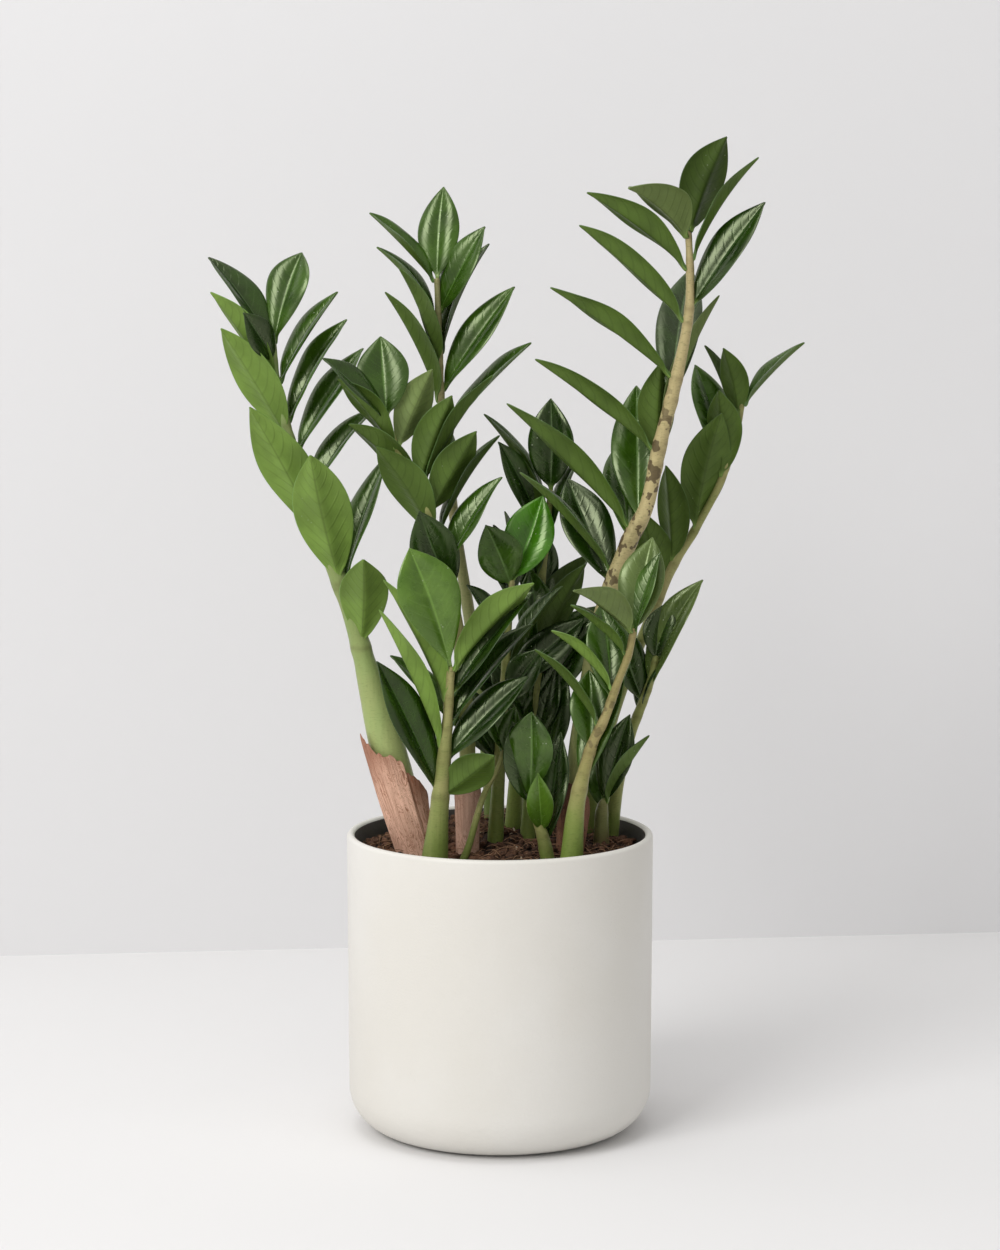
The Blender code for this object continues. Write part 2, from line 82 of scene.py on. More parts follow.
# Each stalk's course: x, y, height above the soil line, radius.
STALKS: dict[str, list[Row]] = {
    "left_tall": [
        (-48, -12, 0, 10.4), (-57, -13, 32, 10.6), (-67, -14, 70, 10.2), (-74, -14, 97, 8.0),
        (-80, -13, 120, 6.0), (-88, -12, 148, 5.2), (-105, -10, 192, 4.2), (-122, -7, 245, 3.0),
        (-129, -4, 276, 2.3), (-131, -2, 298, 1.7),
    ],
    "middle_tall": [
        (-3, 58, 0, 6.2), (-6, 56, 41, 5.2), (-11, 54, 83, 4.4), (-18, 51, 131, 3.8),
        (-26, 47, 184, 3.2), (-32, 43, 231, 2.7), (-35, 40, 265, 2.3), (-36, 38, 300, 2.0),
        (-37, 35, 334, 1.6),
    ],
    "right_tall": [
        (41, -5, 0, 6.6), (46, -6, 60, 6.2), (52, -7, 97, 6.2), (58, -8, 132, 6.2),
        (66, -9, 160, 5.5), (75, -10, 185, 4.8), (85, -11, 206, 4.3), (92, -12, 240, 4.0),
        (101, -13, 277, 3.7), (108, -13, 313, 2.8), (109, -12, 339, 2.3), (108, -10, 362, 1.8),
    ],
    "front_left": [
        (-38, -46, 0, 8.0), (-34, -47, 43, 4.8), (-31, -48, 75, 3.3), (-29, -49, 101, 2.6),
        (-28, -50, 115, 2.2),
    ],
    "front_right": [
        (41, -45, 0, 7.0), (44, -46, 36, 4.9), (52, -47, 69, 3.2), (60, -48, 87, 2.7),
        (67, -49, 107, 2.3), (73, -50, 123, 2.1), (76, -50, 137, 1.9),
    ],
    "right_low": [
        (66, 32, 0, 4.6), (70, 28, 35, 3.8), (78, 24, 67, 3.0), (88, 21, 95, 2.3),
        (92, 20, 112, 1.8),
    ],
    "right_shoot": [(60, 10, 0, 5.0), (60, 8, 20, 3.8), (61, 7, 28, 2.4)],
    "right_back": [
        (50, 44, 0, 6.0), (60, 42, 50, 4.8), (72, 41, 90, 4.0), (85, 40, 122, 3.4),
        (102, 40, 163, 2.8), (115, 40, 185, 2.5), (130, 40, 213, 2.1), (139, 40, 239, 1.8),
        (143, 40, 260, 1.5),
    ],
    "left_middle": [
        (-19, -12, 0, 5.0), (-19, -12, 61, 4.6), (-21, -12, 101, 4.2), (-25, -13, 137, 3.6),
        (-31, -13, 167, 3.1), (-40, -14, 196, 2.7), (-46, -14, 215, 2.4), (-59, -15, 238, 2.0),
        (-65, -15, 256, 1.6),
    ],
    "middle_back": [
        (7, 30, 0, 5.5), (11, 31, 50, 4.2), (17, 33, 97, 3.4), (23, 35, 144, 2.8),
        (27, 37, 179, 2.3), (30, 38, 209, 1.7),
    ],
    "middle": [
        (-3, 6, 0, 5.0), (-1, 5, 40, 3.8), (2, 3, 90, 2.8), (5, 1, 135, 2.1), (7, 0, 160, 1.6),
    ],
    "middle_low": [(16, 12, 0, 4.8), (18, 14, 40, 3.6), (21, 15, 80, 2.6), (24, 16, 119, 1.8)],
    "front_shoot": [(28, -32, 0, 4.2), (24, -34, 18, 3.2), (17, -36, 35, 2.0)],
    "thin_shoot": [
        (-22, -33, 0, 2.4), (-18, -33, 10, 2.1), (-10, -33, 38, 1.8), (-1, -33, 56, 1.5),
        (2, -33, 65, 1.2),
    ],
}

# Each stalk's leaflets, from its tip down: the left row and then the right row.
LEAFLETS: dict[str, list[Row]] = {
    "left_tall": [
        (298, 17, -12, 30, 55, 30), (296, -36, -10, 55, 64, 25), (288, -29, 28, 35, 36, 20),
        (272, -34, 0, 128, 66, 28), (244, -31, 4, 145, 72, 31), (184, -27, 13, 158, 88, 32),
        (160, -11, 24, 175, 82, 38), (123, 3, 30, 178, 58, 32),
        (275, 33, -5, 66, 62, 28), (252, 30, -8, 60, 68, 28), (235, 33, -12, 58, 71, 28),
        (210, 37, -15, 62, 62, 28), (157, 19, -12, 60, 79, 28),
    ],
    "middle_tall": [
        (334, 4, -14, 16, 55, 26), (333, -44, 0, 75, 55, 22), (311, -40, 0, 80, 54, 22),
        (283, -21, 22, 118, 66, 25), (261, -26, 5, 116, 72, 26),
        (314, 28, 5, 42, 57, 26), (290, 24, -5, 68, 70, 26), (268, 35, 0, 48, 74, 27),
        (244, 44, 0, 70, 72, 26), (205, -20, -25, 60, 65, 26),
    ],
    "right_tall": [
        (362, 22, -15, 150, 60, 33), (360, -52, 40, 128, 58, 38), (341, -53, 0, 122, 72, 26),
        (311, -48, 0, 118, 81, 27), (279, -54, 0, 116, 86, 28), (237, -53, 0, 114, 85, 28),
        (191, -45, 0, 120, 100, 30), (165, -43, 0, 92, 77, 24),
        (346, 33, 0, 95, 69, 22), (319, 35, 0, 48, 72, 30), (266, 12, -47, 12, 108, 28),
        (241, 22, -11, 118, 90, 20), (229, 3, -9, 150, 56, 26), (195, 0, -27, 10, 83, 32),
        (158, -23, -28, 20, 69, 32), (185, -10, -40, 20, 60, 28),
    ],
    "front_left": [
        (115, -18, 10, 15, 74, 38), (95, -27, 0, 125, 78, 28), (67, -24, 0, 115, 87, 28),
        (42, -25, 0, 45, 81, 30),
        (114, 42, 8, 135, 69, 30), (99, 38, 0, 55, 75, 28), (81, 40, -10, 60, 75, 28),
        (62, 45, -4, 50, 65, 28), (41, 50, 15, 165, 37, 26),
    ],
    "front_right": [
        (137, -51, 40, 130, 57, 30), (124, -48, 10, 95, 43, 22), (103, -46, 0, 100, 48, 22),
        (82, -40, 0, 98, 56, 22), (97, -6, -25, 15, 56, 28), (67, 0, -20, 0, 45, 26),
        (136, 12, -15, 20, 55, 28), (133, 18, -5, 60, 50, 22), (45, 18, -15, 40, 88, 28),
    ],
    "right_low": [
        (93, 26, 0, 50, 71, 28), (77, 20, -10, 60, 45, 24), (110, 12, -10, 10, 34, 22),
        (85, -20, -12, 20, 50, 24),
    ],
    "right_shoot": [(26, 16, 0, 30, 54, 24), (27, 31, 15, 110, 50, 22), (22, 5, -35, 20, 40, 20)],
    "right_back": [
        (260, 44, 0, 80, 51, 20), (254, -14, 0, 150, 40, 20), (245, -20, -20, 100, 55, 22),
        (223, -16, -25, 30, 67, 28), (217, -3, 10, 150, 52, 26), (185, 12, 10, 170, 72, 30),
        (166, -5, 5, 140, 57, 26), (145, -10, 0, 160, 50, 26),
    ],
    "left_middle": [
        (256, -5, -18, 0, 48, 32), (255, -45, 10, 60, 51, 24), (238, -39, 5, 130, 52, 24),
        (216, -47, 5, 135, 53, 26), (187, -32, 10, 150, 62, 28), (153, -20, 15, 10, 53, 30),
        (70, -42, 5, 60, 62, 24),
        (239, 24, -5, 160, 48, 24), (218, 21, 0, 165, 53, 25), (216, 33, -10, 92, 76, 24),
        (201, 30, 0, 150, 53, 26), (187, 32, -12, 85, 68, 24), (170, 32, 0, 55, 59, 26),
    ],
    "middle_back": [
        (209, 0, 0, 8, 54, 30), (180, -25, 10, 40, 65, 24), (197, -33, 0, 85, 68, 22),
        (157, -14, 0, 110, 86, 26), (175, 20, 0, 70, 55, 24), (135, -3, -4, 20, 55, 28),
        (120, 33, -5, 140, 60, 26), (60, 5, -10, 10, 70, 34), (75, -35, 0, 30, 65, 30),
        (92, 42, 3, 20, 65, 30),
    ],
    "middle": [
        (160, 20, -10, 8, 52, 31), (157, -22, 15, 10, 40, 28), (147, -12, -20, 40, 47, 24),
        (158, -5, -30, 70, 46, 22), (120, -31, 5, 60, 43, 22), (111, 35, 5, 75, 55, 22),
        (87, 34, 15, 30, 40, 24), (97, 50, -10, 40, 60, 26), (52, -32, -12, 35, 55, 28),
    ],
    "middle_low": [
        (119, 27, 6, 150, 55, 24), (105, -5, -15, 20, 60, 28), (85, 35, 0, 30, 60, 26),
        (70, -30, -12, 30, 50, 24), (60, 15, 0, 30, 50, 24),
        (34, 15, 0, 30, 75, 34), (50, -15, -10, 15, 55, 28),
    ],
    "front_shoot": [
        (35, 1, 10, 15, 54, 29), (16, -4, 20, 0, 38, 17), (9, 8, -14, 30, 64, 22),
        (33, -12, 4, 20, 50, 24),
    ],
    "thin_shoot": [(65, -20, -12, 40, 33, 18), (64, 15, -14, 30, 27, 16)],
}

SEPARATE = ("left_tall", "middle_tall", "right_tall")  # their leaflets are nodes of their own


# ---------------------------------------------------------------------------------------------
# Small tools
# ---------------------------------------------------------------------------------------------


def deselect() -> None:
    """Leave nothing selected, because an operator acts on all that is."""
    bpy.ops.object.select_all(action="DESELECT")


def only(obj: bpy.types.Object) -> bpy.types.Object:
    """Make one object the only selected one and the active one.

    Args:
        obj: the object to work on.

    Returns:
        The same object.
    """
    deselect()
    obj.select_set(True)
    bpy.context.view_layer.objects.active = obj
    return obj


def named(name: str) -> bpy.types.Object:
    """Name the object that an operator has just added, and its mesh."""
    obj = bpy.context.object
    obj.name = name
    if obj.data:
        obj.data.name = name
    return obj


@contextmanager
def editing(obj: bpy.types.Object) -> Iterator[None]:
    """Work on an object in edit mode, with all of it selected at the start."""
    only(obj)
    bpy.ops.object.mode_set(mode="EDIT")
    bpy.ops.mesh.select_all(action="SELECT")
    yield
    bpy.ops.object.mode_set(mode="OBJECT")


def apply_modifiers(obj: bpy.types.Object) -> None:
    """Apply every modifier of an object, in order."""
    only(obj)
    for modifier in list(obj.modifiers):
        bpy.ops.object.modifier_apply(modifier=modifier.name)


def pick(obj: bpy.types.Object, test: Callable[[int], bool]) -> None:
    """Select, in edit mode, the vertices whose number passes a test.

    Args:
        obj: the object in edit mode.
        test: takes a vertex's number and says whether it is picked.
    """
    bm = bmesh.from_edit_mesh(obj.data)
    for part in (bm.verts, bm.edges, bm.faces):
        for item in part:
            item.select_set(False)
    for vertex in bm.verts:
        if test(vertex.index):
            vertex.select_set(True)
    bm.select_flush(True)
    bmesh.update_edit_mesh(obj.data)


def places(mesh: bpy.types.Mesh) -> np.ndarray:
    """Read a mesh's vertices as an array of (x, y, z)."""
    flat = np.empty(len(mesh.vertices) * 3)
    mesh.vertices.foreach_get("co", flat)
    return flat.reshape(-1, 3)


def move_to(mesh: bpy.types.Mesh, points: np.ndarray) -> None:
    """Write an array of (x, y, z) back to a mesh's vertices."""
    mesh.vertices.foreach_set("co", points.reshape(-1))
    mesh.update()


def set_attribute(mesh: bpy.types.Mesh, name: str, values: Iterable[float]) -> None:
    """Store one number for each vertex, for a material to read.

    Args:
        mesh: the mesh that holds the numbers.
        name: the attribute's name.
        values: one number for each vertex.
    """
    layer = mesh.attributes.get(name) or mesh.attributes.new(name, "FLOAT", "POINT")
    layer.data.foreach_set("value", np.asarray(list(values), np.float32))


def dress(obj: bpy.types.Object, *materials: bpy.types.Material) -> None:
    """Give an object these materials and no others."""
    obj.data.materials.clear()
    for material in materials:
        obj.data.materials.append(material)


def sweep(name: str, courses: Sequence[Sequence[Vector]], resolution: int) -> bpy.types.Object:
    """Sweep a round section along each of some courses, and close its ends.

    Args:
        name: the new object's name.
        courses: for each one, its points as (x, y, z, radius).
        resolution: how finely the section is divided, as a curve's bevel counts it.

    Returns:
        The object, as one mesh.
    """
    deselect()
    bpy.ops.curve.primitive_nurbs_path_add()
    obj = named(name)
    curve = obj.data
    curve.splines.clear()
    curve.bevel_depth = 1.0
    curve.bevel_resolution = resolution
    curve.use_fill_caps = True
    for course in courses:
        spline = curve.splines.new("POLY")
        spline.points.add(len(course) - 1)
        for point, ring in zip(spline.points, course):
            point.co = (*ring.xyz, 1.0)
            point.radius = ring.w
    only(obj)
    bpy.ops.object.convert(target="MESH")
    with editing(obj):
        bpy.ops.mesh.remove_doubles(threshold=MERGE_DISTANCE)
        bpy.ops.mesh.normals_make_consistent(inside=False)
    return obj


def smooth_step(low: float, high: float, value: np.ndarray) -> np.ndarray:
    """Rise smoothly from 0 at low to 1 at high."""
    share = np.clip((value - low) / (high - low), 0, 1)
    return share * share * (3 - 2 * share)


def finish_piece(obj: bpy.types.Object, slot: str, *nodes: str) -> bpy.types.Object:
    """Hand a finished piece to the frame and report it.

    Args:
        obj: the piece, in place, with its object at the origin.
        slot: the record's material slot of the piece; not used.
        nodes: the CAD nodes that it stands for.

    Returns:
        The same piece.
    """
    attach(obj, BODY)
    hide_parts(*nodes)
    LOG.info("%s: %d faces, for %s", obj.name, len(obj.data.polygons), ", ".join(nodes))
    return obj


# ---------------------------------------------------------------------------------------------
# Shader tools and shared effects
# ---------------------------------------------------------------------------------------------


@dataclass
class Graph:
    """A thin hand on a node tree: it adds nodes and links them."""

    tree: bpy.types.NodeTree

    def add(self, kind: str, inputs: Optional[dict] = None, **settings: object) -> bpy.types.Node:
        """Add a node.

        Args:
            kind: the node's type.
            inputs: what goes into its sockets, by name or number: a value or another socket.
            settings: the node's own properties.

        Returns:
            The new node.
        """
        node = self.tree.nodes.new(kind)
        for key, value in settings.items():
            setattr(node, key, value)
        for key, value in (inputs or {}).items():
            self.plug(node.inputs[key], value)
        return node

    def plug(self, socket: bpy.types.NodeSocket, value: object) -> None:
        """Link another socket to this one, or set its value."""
        if isinstance(value, bpy.types.NodeSocket):
            self.tree.links.new(value, socket)
        elif isinstance(value, tuple) and len(value) == 3 and socket.type == "RGBA":
            socket.default_value = (*value, 1.0)
        else:
            socket.default_value = value

    def math(self, operation: str, first: object, second: object = 0.0) -> bpy.types.NodeSocket:
        """Combine two numbers and return the result's socket."""
        node = self.add("ShaderNodeMath", {0: first, 1: second}, operation=operation)
        return node.outputs[0]

    def vector(self, operation: str, *values: object) -> bpy.types.NodeSocket:
        """Combine vectors and return the result's socket."""
        node = self.add("ShaderNodeVectorMath", dict(enumerate(values)), operation=operation)
        return node.outputs[0]

    def ramp(
        self, value: object, low: float, high: float, to_low: float = 0.0, to_high: float = 1.0
    ) -> bpy.types.NodeSocket:
        """Map a number smoothly from one range to another.

        Args:
            value: the number's socket.
            low: where the result is to_low.
            high: where the result is to_high.
            to_low: the result at low.
            to_high: the result at high.

        Returns:
            The result's socket.
        """
        node = self.add(
            "ShaderNodeMapRange", {0: value, 1: low, 2: high, 3: to_low, 4: to_high},
            interpolation_type="SMOOTHSTEP",
        )
        return node.outputs[0]

    def mix(self, share: object, first: object, second: object) -> bpy.types.NodeSocket:
        """Mix two colours and return the result's socket."""
        node = self.add("ShaderNodeMix", data_type="RGBA")
        for socket, value in zip((node.inputs[0], node.inputs[6], node.inputs[7]),
                                 (share, first, second)):
            self.plug(socket, value)
        return node.outputs[2]

    def noise(self, vector: object, scale: float, detail: float = 3.0) -> bpy.types.NodeSocket:
        """Add a noise pattern and return its value's socket."""
        node = self.add(
            "ShaderNodeTexNoise", {"Vector": vector, "Scale": scale, "Detail": detail}
        )
        return node.outputs["Fac"]

    def group(self, effect: bpy.types.NodeTree, inputs: dict) -> bpy.types.Node:
        """Place a shared effect with its own values and return its node."""
        node = self.add("ShaderNodeGroup", node_tree=effect)
        for key, value in inputs.items():
            self.plug(node.inputs[key], value)
        return node


def new_effect(
    name: str, inputs: dict[str, object], outputs: Sequence[str]
) -> tuple[Graph, bpy.types.Node, bpy.types.Node]:
    """Start a shared shader effect.

    Args:
        name: the effect's name.
        inputs: its inputs: None for a vector, or a number's first value.
        outputs: the names of the masks that it puts out.

    Returns:
        The graph to build in, and the nodes of its inputs and outputs.
    """
    tree = bpy.data.node_groups.new(name, "ShaderNodeTree")
    for key, value in inputs.items():
        kind = "NodeSocketVector" if value is None else "NodeSocketFloat"
        socket = tree.interface.new_socket(key, in_out="INPUT", socket_type=kind)
        if value is not None:
            socket.default_value = value
    for key in outputs:
        tree.interface.new_socket(key, in_out="OUTPUT", socket_type="NodeSocketFloat")
    graph = Graph(tree)
    return graph, graph.add("NodeGroupInput"), graph.add("NodeGroupOutput")


def make_veins() -> bpy.types.NodeTree:
    """A leaflet's midrib and side veins, read from its UV map.

    Returns:
        The effect: U runs across the blade and V from its base to its tip.
    """
    graph, given, out = new_effect(
        "leaf veins",
        {"UV": None, "Veins": 12.0, "Slant": 2.2, "Rib width": 0.05, "Vein width": 0.10},
        ("Rib", "Veins"),
    )
    split = graph.add("ShaderNodeSeparateXYZ", {0: given.outputs["UV"]})
    across = graph.math("ABSOLUTE", graph.math("SUBTRACT", split.outputs[0], 0.5))
    across = graph.math("MULTIPLY", across, 2.0)
    rib = graph.ramp(graph.math("DIVIDE", across, given.outputs["Rib width"]), 1.0, 0.3)
    run = graph.math("MULTIPLY", split.outputs[1], given.outputs["Veins"])
    lean = graph.math("MULTIPLY", graph.math("POWER", across, 1.3), given.outputs["Slant"])
    wave = graph.math("PINGPONG", graph.math("SUBTRACT", run, lean), 0.5)
    vein = graph.ramp(graph.math("DIVIDE", wave, given.outputs["Vein width"]), 1.0, 0.0)
    fade = graph.ramp(across, 0.98, 0.55)
    graph.plug(out.inputs["Rib"], rib)
    graph.plug(out.inputs["Veins"], graph.math("MULTIPLY", vein, fade))
    return graph.tree


def make_specks() -> bpy.types.NodeTree:
    """Small scattered spots, such as dried drops of water on a leaflet or lime on a pot.

    Returns:
        The effect, which reads object coordinates.
    """
    graph, given, out = new_effect(
        "specks", {"Vector": None, "Scale": 300.0, "Size": 0.12, "Patch scale": 30.0,
                   "Patch": 0.55}, ("Mask",)
    )
    cell = graph.add(
        "ShaderNodeTexVoronoi", {"Vector": given.outputs["Vector"], "Scale": given.outputs["Scale"]}
    )
    reach = graph.math("DIVIDE", cell.outputs["Distance"], given.outputs["Size"])
    dot = graph.ramp(reach, 1.0, 0.6)
    patch = graph.noise(given.outputs["Vector"], given.outputs["Patch scale"], 2.0)
    over = graph.math("SUBTRACT", patch, given.outputs["Patch"])
    graph.plug(out.inputs["Mask"], graph.math("MULTIPLY", dot, graph.ramp(over, 0.0, 0.06)))
    return graph.tree


def make_streaks() -> bpy.types.NodeTree:
    """Long thin fibres or flecks that run one way, for stalks and sheaths.

    Returns:
        The effect, which reads a vector whose first two axes are scaled apart.
    """
    graph, given, out = new_effect(
        "streaks", {"Vector": None, "Across": 900.0, "Along": 60.0}, ("Fine", "Broad")
    )
    scale = graph.add(
        "ShaderNodeCombineXYZ",
        {0: given.outputs["Across"], 1: given.outputs["Across"], 2: given.outputs["Along"]},
    )
    vector = graph.vector("MULTIPLY", given.outputs["Vector"], scale.outputs[0])
    graph.plug(out.inputs["Fine"], graph.noise(vector, 1.0, 4.0))
    graph.plug(out.inputs["Broad"], graph.noise(vector, 0.22, 2.0))
    return graph.tree


VEINS = make_veins()
SPECKS = make_specks()
STREAKS = make_streaks()


def new_material(name: str) -> tuple[bpy.types.Material, Graph, bpy.types.Node]:
    """Start a material.

    Args:
        name: the material's name.

    Returns:
        The material, its graph and its Principled shader.
    """
    material = bpy.data.materials.new(name)
    material.use_nodes = True
    return material, Graph(material.node_tree), material.node_tree.nodes["Principled BSDF"]


def object_vector(graph: Graph) -> bpy.types.NodeSocket:
    """Return the socket of the piece's own coordinates."""
    return graph.add("ShaderNodeTexCoord").outputs["Object"]


def attribute(graph: Graph, name: str) -> bpy.types.NodeSocket:
    """Return the socket of a number that the mesh stores for each vertex."""
    return graph.add("ShaderNodeAttribute", attribute_name=name).outputs["Fac"]


def bump(
    graph: Graph, shader: bpy.types.Node, height: bpy.types.NodeSocket, depth: float,
    strength: float = 1.0,
) -> None:
    """Give a shader a fine relief.

    Args:
        graph: the material's graph.
        shader: the shader that gets it.
        height: the relief's height, from 0 to 1.
        depth: how deep it is at most, in metres.
        strength: how strongly it shows.
    """
    node = graph.add(
        "ShaderNodeBump", {"Height": height, "Distance": depth, "Strength": strength}
    )
    graph.plug(shader.inputs["Normal"], node.outputs[0])


# ---------------------------------------------------------------------------------------------
# Finishes
# ---------------------------------------------------------------------------------------------


class Tone(Enum):
    """How green a leaflet is, partly from its age and partly as painted light and shade. The
    freshest tone also paints light on leaflets lit from the left and front. The deepest tone also
    paints shade on leaflets inside the plant. Each tone gives its upper face, darker patches and
    underside.
    """

    # Paler, partly as painted light on the lit leaflets.
    FRESH = ((0.095, 0.190, 0.018), (0.052, 0.118, 0.007), (0.180, 0.290, 0.052))
    BRIGHT = ((0.060, 0.215, 0.006), (0.028, 0.110, 0.003), (0.120, 0.230, 0.028))
    GREEN = ((0.038, 0.096, 0.004), (0.014, 0.042, 0.001), (0.084, 0.142, 0.022))
    # Darker, partly as painted shade on leaflets inside the plant.
    DEEP = ((0.015, 0.046, 0.001), (0.005, 0.017, 0.001), (0.042, 0.076, 0.008))
    DUSTY = ((0.105, 0.155, 0.036), (0.055, 0.090, 0.016), (0.150, 0.205, 0.060))


@dataclass(frozen=True)
class LeafFinish:
    """The waxy upper face, matt underside and thin pale edge of a leaflet; the edge's paleness is
    partly a painted rim highlight.
    """

    tone: Tone
    gloss: float = 0.23
    underside_gloss: float = 0.50

    def materials(self) -> list[bpy.types.Material]:
        """Return the upper, under and edge materials, made on their first use."""
        name = self.tone.name.lower()
        found = [bpy.data.materials.get(f"leaf {name} {side}") for side in ("top", "back", "edge")]
        if all(found):
            return found
        return [self._face("top"), self._face("back"), self._edge()]

    def _face(self, side: str) -> bpy.types.Material:
        """Make the material of one face.

        Args:
            side: "top" or "back".

        Returns:
            The material.
        """
        main, dark, under = self.tone.value
        top = side == "top"
        material, graph, shader = new_material(f"leaf {self.tone.name.lower()} {side}")
        uv = graph.add("ShaderNodeUVMap", uv_map="leaf").outputs[0]
        place = object_vector(graph)
        veins = graph.group(
            VEINS, {"UV": uv, "Rib width": 0.055 if top else 0.045, "Vein width": 0.16}
        )
        patches = graph.ramp(graph.noise(place, 55.0, 4.0), 0.34, 0.66)
        tint = attribute(graph, "tint")
        if top:
            colour = graph.mix(patches, dark, main)
            colour = graph.mix(graph.math("MULTIPLY", tint, 0.45), colour, dark)
            pale = tuple(min(1.0, 1.7 * part + 0.03) for part in main)
            colour = graph.mix(graph.math("MULTIPLY", veins.outputs["Veins"], 0.07), colour, pale)
            colour = graph.mix(graph.math("MULTIPLY", veins.outputs["Rib"], 0.55), colour, pale)
        else:
            shade = tuple(0.72 * part for part in under)
            colour = graph.mix(patches, shade, under)
            colour = graph.mix(graph.math("MULTIPLY", tint, 0.35), colour, shade)
            # Darker midrib and veins underneath: partly their own colour, partly painted shade
            # along the midrib's groove.
            line = tuple(0.45 * part for part in under)
            colour = graph.mix(graph.math("MULTIPLY", veins.outputs["Veins"], 0.28), colour, line)
            colour = graph.mix(graph.math("MULTIPLY", veins.outputs["Rib"], 0.55), colour, line)
        split = graph.add("ShaderNodeSeparateXYZ", {0: uv})
        foot = graph.ramp(split.outputs[1], 0.14, 0.02)
        colour = graph.mix(graph.math("MULTIPLY", foot, 0.8), colour, (0.22, 0.33, 0.08))
        drops = graph.group(SPECKS, {"Vector": place, "Scale": 240.0, "Size": 0.10})
        spots = graph.math("MULTIPLY", drops.outputs["Mask"], 0.55 if top else 0.25)
        colour = graph.mix(spots, colour, (0.62, 0.66, 0.52))
        graph.plug(shader.inputs["Base Color"], colour)
        base = self.gloss if top else self.underside_gloss
        smear = graph.ramp(graph.noise(place, 90.0, 4.0), 0.3, 0.7, base - 0.05, base + 0.10)
        graph.plug(shader.inputs["Roughness"], graph.math("ADD", smear, spots))
        shader.inputs["Specular IOR Level"].default_value = 0.82 if top else 0.35
        shader.inputs["Specular Tint"].default_value = (0.88, 1.0, 0.62, 1.0)
        grain = graph.noise(place, 700.0, 3.0)
        relief = graph.math("MULTIPLY", veins.outputs["Veins"], -0.16 if top else 0.3)
        relief = graph.math("ADD", relief, graph.math("MULTIPLY", grain, 0.08))
        relief = graph.math("ADD", relief, graph.math("MULTIPLY", graph.noise(place, 90.0), 0.7))
        bump(graph, shader, relief, 0.00035)
        return material

    def _edge(self) -> bpy.types.Material:
        """Make the material of the thin margin, paler than the faces, partly as its own colour and
        partly as a painted highlight along the rim.
        """
        main = self.tone.value[0]
        material, graph, shader = new_material(f"leaf {self.tone.name.lower()} edge")
        # The pale margin is partly its own colour and partly a painted highlight along the rim.
        pale = tuple(min(1.0, 1.5 * part + 0.04) for part in main)
        patches = graph.ramp(graph.noise(object_vector(graph), 60.0), 0.35, 0.65)
        graph.plug(shader.inputs["Base Color"], graph.mix(patches, main, pale))
        shader.inputs["Roughness"].default_value = 0.42
        return material


@dataclass(frozen=True)
class StalkFinish:
    """The skin of a stalk: green with short flecks, its foot's colour running into a higher one (on
    one stalk the foot's is painted shade), tan where it has aged.
    """

    name: str
    low: Colour
    high: Colour
    aged: Colour = (0.42, 0.34, 0.17)
    aging: float = 0.25  # how much of it has turned tan
    blotches: float = 0.0  # how strongly it shows dark brown blotches

    def material(self) -> bpy.types.Material:
        """Return the material, made on its first use."""
        found = bpy.data.materials.get(self.name)
        if found:
            return found
        material, graph, shader = new_material(self.name)
        place = object_vector(graph)
        rise = attribute(graph, "rise")
        colour = graph.mix(graph.ramp(rise, 0.12, 0.55), self.low, self.high)
        age = graph.math("MULTIPLY", graph.ramp(graph.noise(place, 26.0), 0.40, 0.66), self.aging)
        age = graph.math("MULTIPLY", age, graph.ramp(rise, 0.05, 0.55, 0.35, 1.0))
        colour = graph.mix(age, colour, self.aged)
        streaks = graph.group(STREAKS, {"Vector": place, "Across": 420.0, "Along": 1400.0})
        flecks = graph.ramp(streaks.outputs["Fine"], 0.52, 0.70)
        fleck = tuple(0.55 * part for part in self.low)
        colour = graph.mix(graph.math("MULTIPLY", flecks, 0.42), colour, fleck)
        runs = graph.group(STREAKS, {"Vector": place, "Across": 500.0, "Along": 30.0})
        pale = graph.ramp(runs.outputs["Broad"], 0.48, 0.70)
        light = tuple(min(1.0, 1.35 * part + 0.02) for part in self.high)
        colour = graph.mix(graph.math("MULTIPLY", pale, 0.30), colour, light)
        if self.blotches:
            cells = graph.ramp(graph.noise(place, 165.0, 2.0), 0.545, 0.585)
            zone = graph.math(
                "MULTIPLY", graph.ramp(rise, 0.36, 0.46), graph.ramp(rise, 0.80, 0.68)
            )
            marks = graph.math("MULTIPLY", graph.math("MULTIPLY", cells, zone), self.blotches)
            colour = graph.mix(marks, colour, (0.055, 0.030, 0.018))
        rings = graph.math("MULTIPLY", attribute(graph, "joint"), 0.35)
        colour = graph.mix(rings, colour, (0.085, 0.060, 0.022))
        graph.plug(shader.inputs["Base Color"], colour)
        graph.plug(
            shader.inputs["Roughness"], graph.ramp(graph.noise(place, 150.0), 0.3, 0.7, 0.36, 0.52)
        )
        shader.inputs["Specular IOR Level"].default_value = 0.45
        shader.inputs["Specular Tint"].default_value = (1.0, 1.0, 0.6, 1.0)
        relief = graph.math("MULTIPLY", streaks.outputs["Fine"], 0.5)
        relief = graph.math("ADD", relief, graph.math("MULTIPLY", runs.outputs["Fine"], 0.6))
        bump(graph, shader, relief, 0.0004)
        return material


